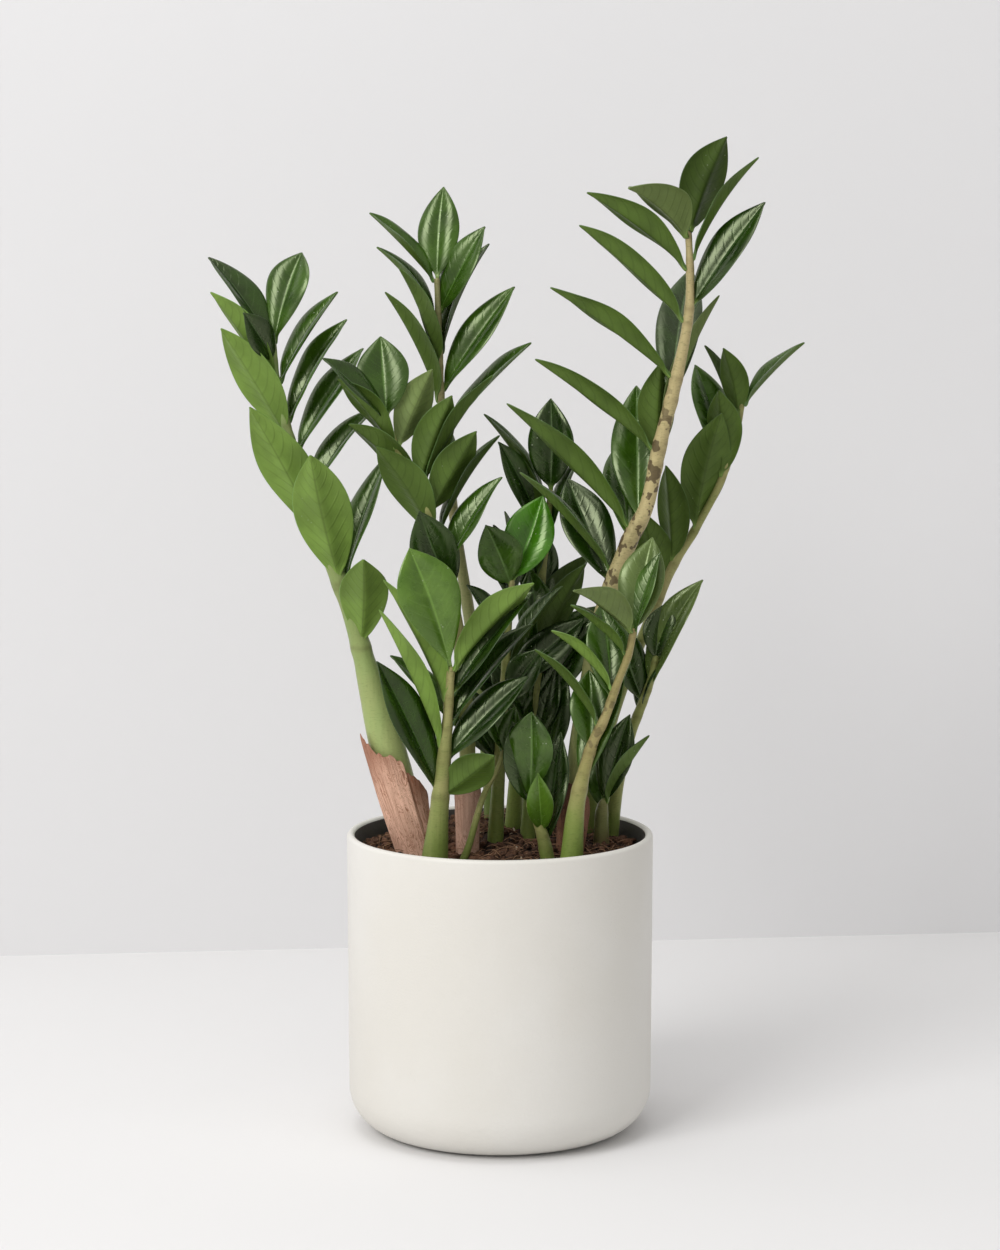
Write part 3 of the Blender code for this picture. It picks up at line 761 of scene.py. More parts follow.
@dataclass(frozen=True)
class SheathFinish:
    """Dry papery skin with long fibres, torn and darker towards the left of its torn top."""

    name: str
    light: Colour
    dark: Colour

    def material(self) -> bpy.types.Material:
        """Return the material."""
        material, graph, shader = new_material(self.name)
        uv = graph.add("ShaderNodeUVMap", uv_map="leaf").outputs[0]
        sway = graph.add("ShaderNodeTexNoise", {"Vector": uv, "Scale": 4.0}).outputs["Color"]
        bent = graph.vector("MULTIPLY_ADD", uv, sway, (0.16, 0.16, 0.0))
        long = graph.vector("MULTIPLY", bent, (1.7, 0.55, 1.0))
        streaks = graph.group(STREAKS, {"Vector": long, "Across": 60.0, "Along": 60.0})
        grain = graph.vector("MULTIPLY_ADD", sway, (0.05, 0.0, 0.0), uv)
        run = graph.vector("MULTIPLY", grain, (46.0, 2.4, 1.0))
        fibres = graph.noise(run, 1.0, 5.0)
        colour = graph.mix(graph.ramp(fibres, 0.30, 0.60, 0.40, 1.0), self.dark, self.light)
        worn = tuple(min(1.0, 1.22 * part + 0.02) for part in self.light)
        patch = graph.ramp(graph.noise(uv, 2.6, 3.0), 0.46, 0.62)
        colour = graph.mix(graph.math("MULTIPLY", patch, 0.7), colour, worn)
        for source, width, strength in (("Broad", 0.034, 0.85), ("Fine", 0.026, 0.6)):
            # Where the pattern crosses its middle value it draws a thin, curly line.
            away = graph.math("ABSOLUTE", graph.math("SUBTRACT", streaks.outputs[source], 0.5))
            hair = graph.math("MULTIPLY", graph.ramp(away, width, 0.0), strength)
            colour = graph.mix(hair, colour, self.dark)
        split = graph.add("ShaderNodeSeparateXYZ", {0: uv})
        aside = graph.math("MULTIPLY", split.outputs[0], 0.5)
        high = graph.math("SUBTRACT", split.outputs[1], aside)
        burnt = graph.math("MULTIPLY", graph.ramp(high, 0.42, 0.78), 0.7)
        colour = graph.mix(burnt, colour, tuple(0.8 * part for part in self.dark))
        graph.plug(shader.inputs["Base Color"], colour)
        shader.inputs["Roughness"].default_value = 0.75
        shader.inputs["Specular IOR Level"].default_value = 0.25
        bump(graph, shader, fibres, 0.0005)
        return material


@dataclass(frozen=True)
class GrainFinish:
    """A loose or rough matter whose pieces differ in colour, by the mesh's tint."""

    name: str
    dark: Colour
    light: Colour
    scale: float
    roughness: float = 0.9
    depth: float = 0.0006

    def material(self) -> bpy.types.Material:
        """Return the material."""
        material, graph, shader = new_material(self.name)
        place = object_vector(graph)
        grain = graph.noise(place, self.scale, 5.0)
        share = graph.math("ADD", graph.math("MULTIPLY", attribute(graph, "tint"), 0.65),
                           graph.math("MULTIPLY", graph.ramp(grain, 0.3, 0.7), 0.45))
        graph.plug(shader.inputs["Base Color"], graph.mix(share, self.dark, self.light))
        shader.inputs["Roughness"].default_value = self.roughness
        shader.inputs["Specular IOR Level"].default_value = 0.25
        bump(graph, shader, grain, self.depth)
        return material


@dataclass(frozen=True)
class CeramicFinish:
    """Matt glazed clay with a fine sandy tooth and a few pinholes."""

    name: str
    colour: Colour
    shade: Colour
    roughness: float

    def material(self) -> bpy.types.Material:
        """Return the material."""
        material, graph, shader = new_material(self.name)
        place = object_vector(graph)
        cloud = graph.ramp(graph.noise(place, 9.0, 3.0), 0.35, 0.65)
        colour = graph.mix(cloud, self.shade, self.colour)
        dust = graph.ramp(graph.noise(place, 480.0, 2.0), 0.62, 0.74)
        colour = graph.mix(graph.math("MULTIPLY", dust, 0.18), colour, self.shade)
        holes = graph.group(
            SPECKS, {"Vector": place, "Scale": 170.0, "Size": 0.045, "Patch scale": 25.0}
        )
        dark = tuple(0.55 * part for part in self.colour)
        colour = graph.mix(graph.math("MULTIPLY", holes.outputs["Mask"], 0.5), colour, dark)
        graph.plug(shader.inputs["Base Color"], colour)
        tooth = graph.noise(place, 900.0, 4.0)
        graph.plug(
            shader.inputs["Roughness"],
            graph.ramp(tooth, 0.3, 0.7, self.roughness - 0.06, self.roughness + 0.06),
        )
        shader.inputs["Specular IOR Level"].default_value = 0.4
        bump(graph, shader, graph.math("ADD", tooth, graph.noise(place, 60.0)), 0.00016)
        return material


# ---------------------------------------------------------------------------------------------
# The pieces
# ---------------------------------------------------------------------------------------------


@dataclass(frozen=True)
class Design:
    """Sizes that the pieces share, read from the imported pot."""

    radius: float
    height: float

    @classmethod
    def from_frame(cls) -> "Design":
        """Read the pot's radius and height from its box."""
        low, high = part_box("pot")
        return cls((high.x - low.x) / 2, high.z)

    @property
    def bore(self) -> float:
        """Inner radius of the pot."""
        return self.radius - POT_WALL

    @property
    def scale(self) -> float:
        """Metres for each millimetre of the tables."""
        return MM * self.bore / NOMINAL_BORE

    @property
    def soil_level(self) -> float:
        """Height of the soil line."""
        return self.height - SOIL_DROP

    def soil_height(self, x: float, y: float) -> float:
        """Height of the soil's surface, heaped up behind the middle and gently rippled.

        Args:
            x: place along X.
            y: place along Y.

        Returns:
            The height above the floor.
        """
        across, along = x / self.bore, y / self.bore
        heap = math.exp(-2.2 * (across**2 + (along - 0.55) ** 2))
        ripple = math.sin(9 * across + 1) + math.sin(11 * along - 7 * across)
        return self.soil_level + SOIL_MOUND * heap + SOIL_RIPPLE * ripple


@dataclass(frozen=True)
class Joint:
    """A place on a stalk: its centre, the stalk's radius there and its course."""

    centre: Vector
    radius: float
    course: Vector


@dataclass
class Stalk:
    """One compound leaf's stalk, on a smooth course through the rows of its table."""

    name: str
    design: Design
    finish: StalkFinish
    nodes: tuple[str, ...]
    spacing: float = 0.0025
    sides: int = 16
    rings: list[Vector] = field(init=False)

    def __post_init__(self) -> None:
        """Work out the course as rings of (x, y, z, radius)."""
        scale, level = self.design.scale, self.design.soil_level
        knots = [Vector(row) * scale + Vector((0, 0, level, 0)) for row in STALKS[self.name]]
        ends = [knots[0] * 2 - knots[1]] + knots + [knots[-1] * 2 - knots[-2]]
        self.rings = []
        for before, start, end, after in zip(ends, ends[1:], ends[2:], ends[3:]):
            steps = max(1, round((end - start).xyz.length / self.spacing))
            for t in (step / steps for step in range(steps)):
                self.rings.append(
                    0.5 * (
                        2 * start
                        + (end - before) * t
                        + (2 * before - 5 * start + 4 * end - after) * t**2
                        + (3 * (start - end) + after - before) * t**3
                    )
                )
        self.rings.append(knots[-1])

    def at(self, height: float) -> Joint:
        """Find the stalk's section at a height.

        Args:
            height: above the floor.

        Returns:
            The section's centre, radius and course.
        """
        for low, high in zip(self.rings, self.rings[1:]):
            if high.z >= height:
                break
        ring = low.lerp(high, max(0.0, min(1.0, (height - low.z) / (high.z - low.z))))
        return Joint(ring.xyz, ring.w, (high - low).xyz.normalized())

    def _swollen(self, ring: Vector, joints: Sequence[float]) -> float:
        """Radius of a ring, fuller at each joint and a little uneven.

        Args:
            ring: the ring's place and radius.
            joints: heights of the leaflets' joints.

        Returns:
            The radius.
        """
        near = max((math.exp(-(((ring.z - z) / 0.0035) ** 2)) for z in joints), default=0.0)
        uneven = noise.noise(Vector((ring.x, ring.y, ring.z)) * 60)
        return ring.w * (1 + 0.035 * uneven) + min(0.0005, 0.12 * ring.w) * near

    def build(self) -> bpy.types.Object:
        """Sweep the stalk, round off its top and dress it.

        Returns:
            The stalk's piece.
        """
        scale, level = self.design.scale, self.design.soil_level
        joints = [level + row[0] * scale for row in LEAFLETS[self.name]]
        first, last = self.rings[0], self.rings[-1]
        lean = self.rings[1] - first
        foot = first - lean * (STALK_DEPTH / lean.z)
        foot.w = first.w
        rings = [foot]
        for ring in self.rings:
            rings.append(Vector((*ring.xyz, self._swollen(ring, joints))))
        course = (last - self.rings[-2]).xyz.normalized()
        for ahead, share in ((0.45, 0.88), (0.8, 0.6), (0.97, 0.25)):
            rings.append(Vector((*(last.xyz + course * last.w * ahead), last.w * share)))
        stalk = sweep(f"stem_{self.name}", [rings], self.sides // 2 - 2)
        bpy.ops.object.shade_smooth_by_angle(angle=math.radians(60))
        mesh = stalk.data
        heights = places(mesh)[:, 2]
        top = last.z - level
        set_attribute(mesh, "rise", np.clip((heights - level) / top, 0, 1))
        closest = np.min([abs(heights - z) for z in joints], axis=0)
        set_attribute(mesh, "joint", np.exp(-((closest / 0.0013) ** 2)))
        dress(stalk, self.finish.material())
        return finish_piece(stalk, "stalk", *self.nodes)


class Shape(Enum):
    """A blade's outline: where it is widest, as a power that shifts its middle."""

    ELLIPTIC = 1.0
    OVATE = 0.82
    OBOVATE = 1.45


@dataclass
class BladeMaster:
    """A flat-lying blade of unit length and unit half width, which the leaflets are copies of."""

    shape: Shape
    columns: int = 10
    rows: int = 22
    obj: Optional[bpy.types.Object] = None

    def half_width(self, share: float) -> float:
        """Half the blade's width at a share of its length, with a short stem at its foot.

        Args:
            share: 0 at the foot and 1 at the tip.

        Returns:
            The half width, as a share of the widest.
        """
        blade = max(0.0, (share - PETIOLULE_SHARE) / (1 - PETIOLULE_SHARE)) ** self.shape.value
        swell = math.sin(math.pi * min(1.0, blade)) ** (0.62 + 0.30 * blade)
        return max(swell, 0.085 if share < 0.5 else 0.012)

    def build(self) -> "BladeMaster":
        """Shape the blade from a grid: its outline row by row, its relief column by column.

        Returns:
            The master itself.
        """
        deselect()
        bpy.ops.mesh.primitive_grid_add(
            x_subdivisions=self.columns, y_subdivisions=self.rows, size=2, calc_uvs=True
        )
        self.obj = named(f"blade_{self.shape.name.lower()}")
        self.obj.data.uv_layers[0].name = "leaf"
        width = self.columns + 1
        with editing(self.obj):
            for row in range(self.rows + 1):
                share = row / self.rows
                closer = share - 0.055 * math.sin(math.tau * share)  # at both ends, where it turns
                pick(self.obj, lambda index, row=row: index // width == row)
                bpy.ops.transform.resize(
                    value=(self.half_width(closer), 1, 1), center_override=(0, 0, 0)
                )
                bpy.ops.transform.translate(value=(0, 2 * (closer - share), 0))
            for column in range(width):
                across = abs(2 * column / self.columns - 1)
                groove = -0.055 * math.exp(-((across / 0.16) ** 2))
                fullness = 0.075 * math.sin(math.pi * across**0.9)
                pick(self.obj, lambda index, column=column: index % width == column)
                bpy.ops.transform.translate(value=(0, 0, groove + fullness))
        return self

    def columns_of(self, count: int) -> np.ndarray:
        """Place of each vertex's column across the blade, from -1 to 1."""
        return 2 * (np.arange(count) % (self.columns + 1)) / self.columns - 1

    def copy(self, name: str) -> bpy.types.Object:
        """Copy the blade, with a mesh of its own."""
        piece = self.obj.copy()
        piece.data = self.obj.data.copy()
        piece.name = piece.data.name = name
        bpy.context.scene.collection.objects.link(piece)
        return piece

    def remove(self) -> None:
        """Take the master out of the scene after the last copy."""
        bpy.data.objects.remove(self.obj, do_unlink=True)


@dataclass(frozen=True)
class Growth:
    """How one blade has grown: bends in degrees, waves as shares of its half width."""

    fold: float
    arch: float
    twist: float
    sway: float
    wave: float
    phase: float
    tint: float

    @classmethod
    def of(cls, name: str, roll: float) -> "Growth":
        """Draw a blade's growth, always the same for the same name.

        Args:
            name: the leaflet's name.
            roll: how far its upper face is turned up, in radians; one on edge is folded more.

        Returns:
            The growth.
        """
        draw = random.Random(name)
        return cls(
            fold=draw.uniform(12, 22) + 15 * math.sin(roll) ** 4,
            arch=draw.uniform(3, 11), twist=draw.uniform(-9, 9),
            sway=draw.uniform(-0.022, 0.022), wave=draw.uniform(0.03, 0.10),
            phase=draw.uniform(0, math.tau), tint=draw.random(),
        )


@dataclass
class Leaflet:
    """One waxy leaflet: a blade on a short stem, grown out of its stalk."""

    stalk: Stalk
    number: int
    master: BladeMaster
    finish: LeafFinish
    nodes: tuple[str, ...]
    thickness: float = 0.0010
    overrides: Optional[dict[str, float]] = None

    @property
    def name(self) -> str:
        """The leaflet's own name."""
        return f"leaf_{self.stalk.name}_{self.number:02d}"

    def _axes(self, row: Row) -> tuple[Vector, Vector, Vector]:
        """Work out which way the leaflet points, lies sideways and faces.

        Args:
            row: height, heading, toward, roll, length and width of the leaflet.

        Returns:
            The directions along the blade, across it and out of its upper face.
        """
        heading, toward, roll = (math.radians(value) for value in row[1:4])
        along = Vector((
            math.sin(heading) * math.cos(toward),
            -math.sin(toward),
            math.cos(heading) * math.cos(toward),
        ))
        front = (Vector((0, -1, 0)) - along * -along.y).normalized()
        upward = front.cross(along) * math.copysign(1, row[1])
        facing = front * math.cos(roll) + upward * math.sin(roll)
        return along, along.cross(facing), facing

    def build(self) -> bpy.types.Object:
        """Copy the master, bend it into place, thicken it and dress it.

        Returns:
            The leaflet's piece.
        """
        design = self.stalk.design
        row = LEAFLETS[self.stalk.name][self.number - 1]
        along, side, facing = self._axes(row)
        joint = self.stalk.at(design.soil_level + row[0] * design.scale)
        grown = Growth.of(self.name, math.radians(row[3]))
        if self.overrides:
            grown = replace(grown, **self.overrides)
        start = joint.centre + along * joint.radius * 0.45
        length = row[4] * design.scale + joint.radius * 0.55
        half = row[5] * design.scale / 2

        piece = self.master.copy(self.name)
        flat = places(piece.data)
        across, share, relief = flat[:, 0], (flat[:, 1] + 1) / 2, flat[:, 2]
        column = self.master.columns_of(len(flat))
        reach = np.array([self.master.half_width(value) for value in share])
        body = smooth_step(0.02, 0.16, share)
        side_phase = grown.phase + np.where(column > 0, 1.9, 0)
        wave = grown.wave * np.sin(share * 7.5 + side_phase) * column**2
        edge = -0.09 * smooth_step(0.70, 1.0, np.abs(column))  # a fleshy margin rolls back
        fold = math.radians(grown.fold) * body
        lift = np.abs(across) * np.sin(fold) + (relief + wave + edge) * reach * body
        spread = across * np.cos(fold)
        turn = math.radians(grown.twist) * (share - 0.25) * body
        right = half * (spread * np.cos(turn) - lift * np.sin(turn))
        right += length * grown.sway * np.sin(math.pi * share)
        up = half * (spread * np.sin(turn) + lift * np.cos(turn))
        up += length * math.tan(math.radians(grown.arch) / 4) * 4 * share * (1 - share)
        move_to(
            piece.data,
            np.outer(share * length, along) + np.outer(right, side) + np.outer(up, facing)
            + np.array(start),
        )
        self._thicken(piece, column, share)
        set_attribute(piece.data, "tint", np.full(len(piece.data.vertices), grown.tint))
        return finish_piece(piece, "leaf", *self.nodes)

    def _thicken(self, piece: bpy.types.Object, across: np.ndarray, share: np.ndarray) -> None:
        """Give the bent sheet its thickness, thick at the stem and thin at the margin.

        Args:
            piece: the bent sheet.
            across: each vertex's place across the blade, from -1 to 1.
            share: each vertex's place along it, from 0 to 1.
        """
        rib = np.exp(-((across / 0.12) ** 2)) * (1 - 0.7 * share)
        stem = 1 - smooth_step(0.03, 0.13, share)
        body = 0.42 * (1 - 0.55 * np.clip(np.abs(across), 0, 1) ** 2)
        weight = np.clip(np.maximum(body + 0.25 * rib, stem), 0.12, 1.0)
        group = piece.vertex_groups.new(name="thickness")
        for index, value in enumerate(weight):
            group.add([index], float(value), "REPLACE")
        dress(piece, *self.finish.materials())
        thick = piece.modifiers.new("thickness", "SOLIDIFY")
        thick.thickness = 2.3 * self.thickness
        thick.offset = -1
        thick.vertex_group = group.name
        thick.material_offset = 1
        thick.material_offset_rim = 2
        smooth = piece.modifiers.new("smooth", "SUBSURF")
        smooth.levels = smooth.render_levels = 1
        apply_modifiers(piece)
        bpy.ops.object.shade_smooth()


@dataclass(frozen=True)
class SheathPlan:
    """One sheet of a dry sheath: on which stalk, how high, how far round, and how it is torn."""

    name: str
    node: str
    stalk: str
    height: float
    wrap: float
    side: float
    flare: float
    span: tuple[float, float] = (-1.0, 1.0)  # the share of the wrap that the sheet covers
    skew: float = 0.0  # how much lower its right side is than its left
    lean: float = 0.0  # how far its top is turned round the stalk, in degrees, most at its left
    layer: float = 0.0  # how far it stands off, in millimetres
    curl: float = 0.0  # how far its right edge curls outwards, in millimetres
    tears: float = 3.0


@dataclass
class Sheath:
    """A dry, papery leaf base that still wraps the foot of a stalk."""

    plan: SheathPlan
    stalk: Stalk
    finish: SheathFinish
    columns: int = 40
    rows: int = 18
    thickness: float = 0.0006
    depth: float = 0.0060  # how far it goes on below the soil line
    clearance: float = 0.0009  # between the sheet and the stalk
    ridges: float = 0.0012  # height of its broad folds at the top
    pleats: float = 0.0006  # height of its fine folds

    def _place(self, across: float, up: float) -> Vector:
        """Find a point of the crumpled sheet.

        Args:
            across: round the stalk, from -1 to 1 over the whole wrap.
            up: 0 at the sheet's foot and 1 at its torn edge.

        Returns:
            The point.
        """
        plan, design = self.plan, self.stalk.design
        seed = len(plan.name) * 1.7
        top = plan.height * design.scale * (1 - 0.5 * abs(across) ** 1.5) * (1 - plan.skew * across)
        top *= 1 + 0.16 * noise.noise(Vector((across * plan.tears, seed, 0)))
        top *= 1 + 0.045 * noise.noise(Vector((across * 21, seed, 4)))
        height = -self.depth + (top + self.depth) * up
        joint = self.stalk.at(design.soil_level + max(0.0, height))
        centre = joint.centre + joint.course * min(0.0, height)
        ridge = 0.5 + 0.5 * noise.noise(Vector((across * 6, up * 1.2, seed)))
        pleat = 0.5 + 0.5 * noise.noise(Vector((across * 19, up * 2.5, seed)))
        reach = joint.radius + self.clearance + (plan.layer + plan.flare * up**3) * MM
        reach += self.ridges * ridge * up + self.pleats * pleat
        reach += plan.curl * MM * up * math.exp((across - plan.span[1]) / 0.05)
        right = -joint.course.cross(Vector((0, 1, 0))).normalized()
        lean = plan.lean * up * (0.3 - across)
        turn = math.radians(plan.side + lean) + math.pi * plan.wrap * across
        outward = right * math.cos(turn) + joint.course.cross(right) * math.sin(turn)
        return centre + outward * reach

    def build(self) -> bpy.types.Object:
        """Wrap the sheet round the stalk, give it its thickness and dress it.

        Returns:
            The sheet's piece.
        """
        deselect()
        bpy.ops.mesh.primitive_grid_add(
            x_subdivisions=self.columns, y_subdivisions=self.rows, size=2, calc_uvs=True
        )
        piece = named(self.plan.name)
        piece.data.uv_layers[0].name = "leaf"
        first, last = self.plan.span
        points = [
            self._place(first + (last - first) * (x + 1) / 2, (y + 1) / 2)
            for x, y, _ in places(piece.data)
        ]
        move_to(piece.data, np.array([tuple(point) for point in points]))
        dress(piece, self.finish.material())
        thick = piece.modifiers.new("thickness", "SOLIDIFY")
        thick.thickness = self.thickness
        thick.offset = 1
        smooth = piece.modifiers.new("smooth", "SUBSURF")
        smooth.levels = smooth.render_levels = 1
        apply_modifiers(piece)
        bpy.ops.object.shade_smooth()
        return finish_piece(piece, "sheath", self.plan.node)


@dataclass
class Soil:
    """Potting bark: an uneven bed with loose chips, fibres and a few pale grains on it."""

    design: Design
    stalks: list[Stalk]
    chips: int = 1700
    fibres: int = 260
    grains: int = 110
    sides: int = 96
    rings: int = 22
    gap: float = 0.0009  # between the bed and the pot's wall
    skirt: float = 0.0120  # how far the bed's edge goes down

    def build(self) -> list[bpy.types.Object]:
        """Build the bed and what lies on it.

        Returns:
            The pieces.
        """
        return [self._bed(), self._chips(), self._fibres(), self._grains()]

    def _bed(self) -> bpy.types.Object:
        """Extrude a circle inwards, ring by ring, and lift it to the soil's shape."""
        deselect()
        bpy.ops.mesh.primitive_circle_add(
            vertices=self.sides, radius=self.design.bore - self.gap, location=(0, 0, 0),
            fill_type="NOTHING",
        )
        bed = named("bark_bed")
        with editing(bed):
            bpy.ops.transform.translate(value=(0, 0, -self.skirt))
            bpy.ops.mesh.extrude_region_move(TRANSFORM_OT_translate={"value": (0, 0, self.skirt)})
            for ring in range(self.rings, 1, -1):
                bpy.ops.mesh.extrude_region_move(TRANSFORM_OT_translate={"value": (0, 0, 0)})
                ratio = (ring - 1) / ring
                bpy.ops.transform.resize(value=(ratio, ratio, 1), center_override=(0, 0, 0))
            bpy.ops.mesh.extrude_region_move(TRANSFORM_OT_translate={"value": (0, 0, 0)})
            bpy.ops.mesh.merge(type="CENTER")
            bpy.ops.mesh.select_all(action="SELECT")
            bpy.ops.mesh.normals_make_consistent(inside=False)
        points = places(bed.data)
        tint = np.zeros(len(points))
        bottom = self.design.soil_level - self.skirt
        for index, (x, y, z) in enumerate(points):
            lump = noise.noise(Vector((x, y, 0)) * 170)
            small = noise.noise(Vector((x, y, 3)) * 420)
            height = self.design.soil_height(x, y) + 0.0016 * lump + 0.0008 * small - 0.0012
            points[index, 2] = height if z > -self.skirt / 2 else bottom
            tint[index] = 0.25 + 0.3 * lump
        move_to(bed.data, points)
        if bed.data.polygons[-1].normal.z < 0:
            with editing(bed):
                bpy.ops.mesh.flip_normals()
        only(bed)
        bpy.ops.object.shade_smooth()
        set_attribute(bed.data, "tint", tint)
        dress(bed, GrainFinish("bark bed", (0.008, 0.004, 0.003), (0.060, 0.029, 0.017), 260.0,
                               depth=0.0015).material())
        return finish_piece(bed, "bark", "soil")

    def _clear(self, x: float, y: float, room: float) -> bool:
        """Say whether a place on the soil is clear of the pot's wall and of every stalk.

        Args:
            x: place along X.
            y: place along Y.
            room: radius that has to be clear.

        Returns:
            True if it is.
        """
        if math.hypot(x, y) > self.design.bore - room - 0.0012:
            return False
        for stalk in self.stalks:
            foot = stalk.rings[0]
            if math.hypot(x - foot.x, y - foot.y) < foot.w + room * 0.8:
                return False
        return True

    def _spots(self, draw: random.Random, count: int, room: float) -> Iterable[tuple[float, float]]:
        """Yield a number of clear places on the soil, evenly spread."""
        found = 0
        while found < count:
            reach = self.design.bore * math.sqrt(draw.random())
            turn = draw.uniform(0, math.tau)
            x, y = reach * math.cos(turn), reach * math.sin(turn)
            if self._clear(x, y, room):
                found += 1
                yield x, y

    def _masters(self) -> list[bpy.types.Object]:
        """Model three bark chips from beveled, dented blocks."""
        masters = []
        for number, sizes in enumerate(((1.0, 0.62, 0.34), (1.0, 0.80, 0.50), (1.0, 0.40, 0.30))):
            deselect()
            bpy.ops.mesh.primitive_cube_add(size=1, scale=sizes)
            chip = named(f"chip {number}")
            bpy.ops.object.transform_apply(location=False, rotation=False, scale=True)
            with editing(chip):
                bpy.ops.mesh.bevel(offset=0.11, segments=1)
                bpy.ops.mesh.select_all(action="SELECT")
                bpy.ops.transform.vertex_random(offset=0.09, seed=number + 3)
            masters.append(chip)
        return masters

    def _scatter(
        self, name: str, count: int, sizes: tuple[float, float], tints: tuple[float, float],
        finish: GrainFinish,
    ) -> bpy.types.Object:
        """Copy the chips over the soil and join the copies to one piece.

        Args:
            name: the piece's name.
            count: how many copies there are.
            sizes: least and greatest length of a copy.
            tints: least and greatest tint of a copy.
            finish: what the copies are made of.

        Returns:
            The piece.
        """
        draw = random.Random(name)
        masters = self._masters()
        copies = []
        for x, y in self._spots(draw, count, sizes[1] * 0.45):
            size = sizes[0] + (sizes[1] - sizes[0]) * draw.random() ** 2.0
            master = draw.choice(masters)
            chip = master.copy()
            chip.data = master.data.copy()
            bpy.context.scene.collection.objects.link(chip)
            lift = self.design.soil_height(x, y) + size * draw.uniform(-0.02, 0.16)
            turn = Matrix.Rotation(draw.uniform(0, math.tau), 4, "Z")
            tilt = Matrix.Rotation(draw.gauss(0, 0.42), 4, "Y") @ Matrix.Rotation(
                draw.gauss(0, 0.42), 4, "X"
            )
            chip.data.transform(Matrix.Translation((x, y, lift)) @ turn @ tilt
                                @ Matrix.Scale(size, 4))
            tint = draw.uniform(*tints)
            set_attribute(chip.data, "tint", [tint] * len(chip.data.vertices))
            copies.append(chip)
        deselect()
        for chip in copies:
            chip.select_set(True)
        bpy.context.view_layer.objects.active = copies[0]
        bpy.ops.object.join()
        piece = named(name)
        for master in masters:
            bpy.data.objects.remove(master, do_unlink=True)
        dress(piece, finish.material())
        only(piece)
        bpy.ops.object.shade_smooth_by_angle(angle=math.radians(35))
        return finish_piece(piece, "bark", "soil")

    def _chips(self) -> bpy.types.Object:
        """Scatter the bark chips."""
        return self._scatter(
            "bark_chips", self.chips, (0.0014, 0.0072), (0.0, 1.0),
            GrainFinish("bark chip", (0.010, 0.005, 0.003), (0.165, 0.080, 0.045), 620.0,
                        roughness=0.9, depth=0.0012),
        )

    def _grains(self) -> bpy.types.Object:
        """Scatter the pale grains."""
        return self._scatter(
            "pale_grains", self.grains, (0.0009, 0.0028), (0.1, 1.0),
            GrainFinish("pale grain", (0.28, 0.20, 0.13), (0.62, 0.54, 0.42), 500.0),
        )

    def _fibres(self) -> bpy.types.Object:
        """Lay short bent fibres over the bark, as one swept piece."""
        draw = random.Random("fibres")
        most = self.design.bore - 0.0020
        courses = []
        for x, y in self._spots(draw, self.fibres, 0.005):
            length, heading = draw.uniform(0.006, 0.020), draw.uniform(0, math.tau)
            bend, rise = draw.uniform(-1.1, 1.1), draw.uniform(0.0, 0.0035)
            thin = draw.uniform(0.00012, 0.00030)
            course = []
            for step in range(7):
                turn = heading + bend * step / 6
                x, y = x + math.cos(turn) * length / 6, y + math.sin(turn) * length / 6
                reach = math.hypot(x, y)
                if reach > most:
                    x, y = x * most / reach, y * most / reach
                height = self.design.soil_height(x, y) + 0.0012
                height += rise * math.sin(math.pi * step / 6)
                radius = thin * (0.6 + 0.4 * math.sin(math.pi * (step + 0.5) / 7))
                course.append(Vector((x, y, height, radius)))
            courses.append(course)
        piece = sweep("bark_fibres", courses, 0)
        bpy.ops.object.shade_smooth()
        set_attribute(piece.data, "tint", [0.6] * len(piece.data.vertices))
        dress(piece, GrainFinish("bark fibre", (0.10, 0.050, 0.028), (0.36, 0.21, 0.12),
                                 300.0).material())
        return finish_piece(piece, "bark", "soil")


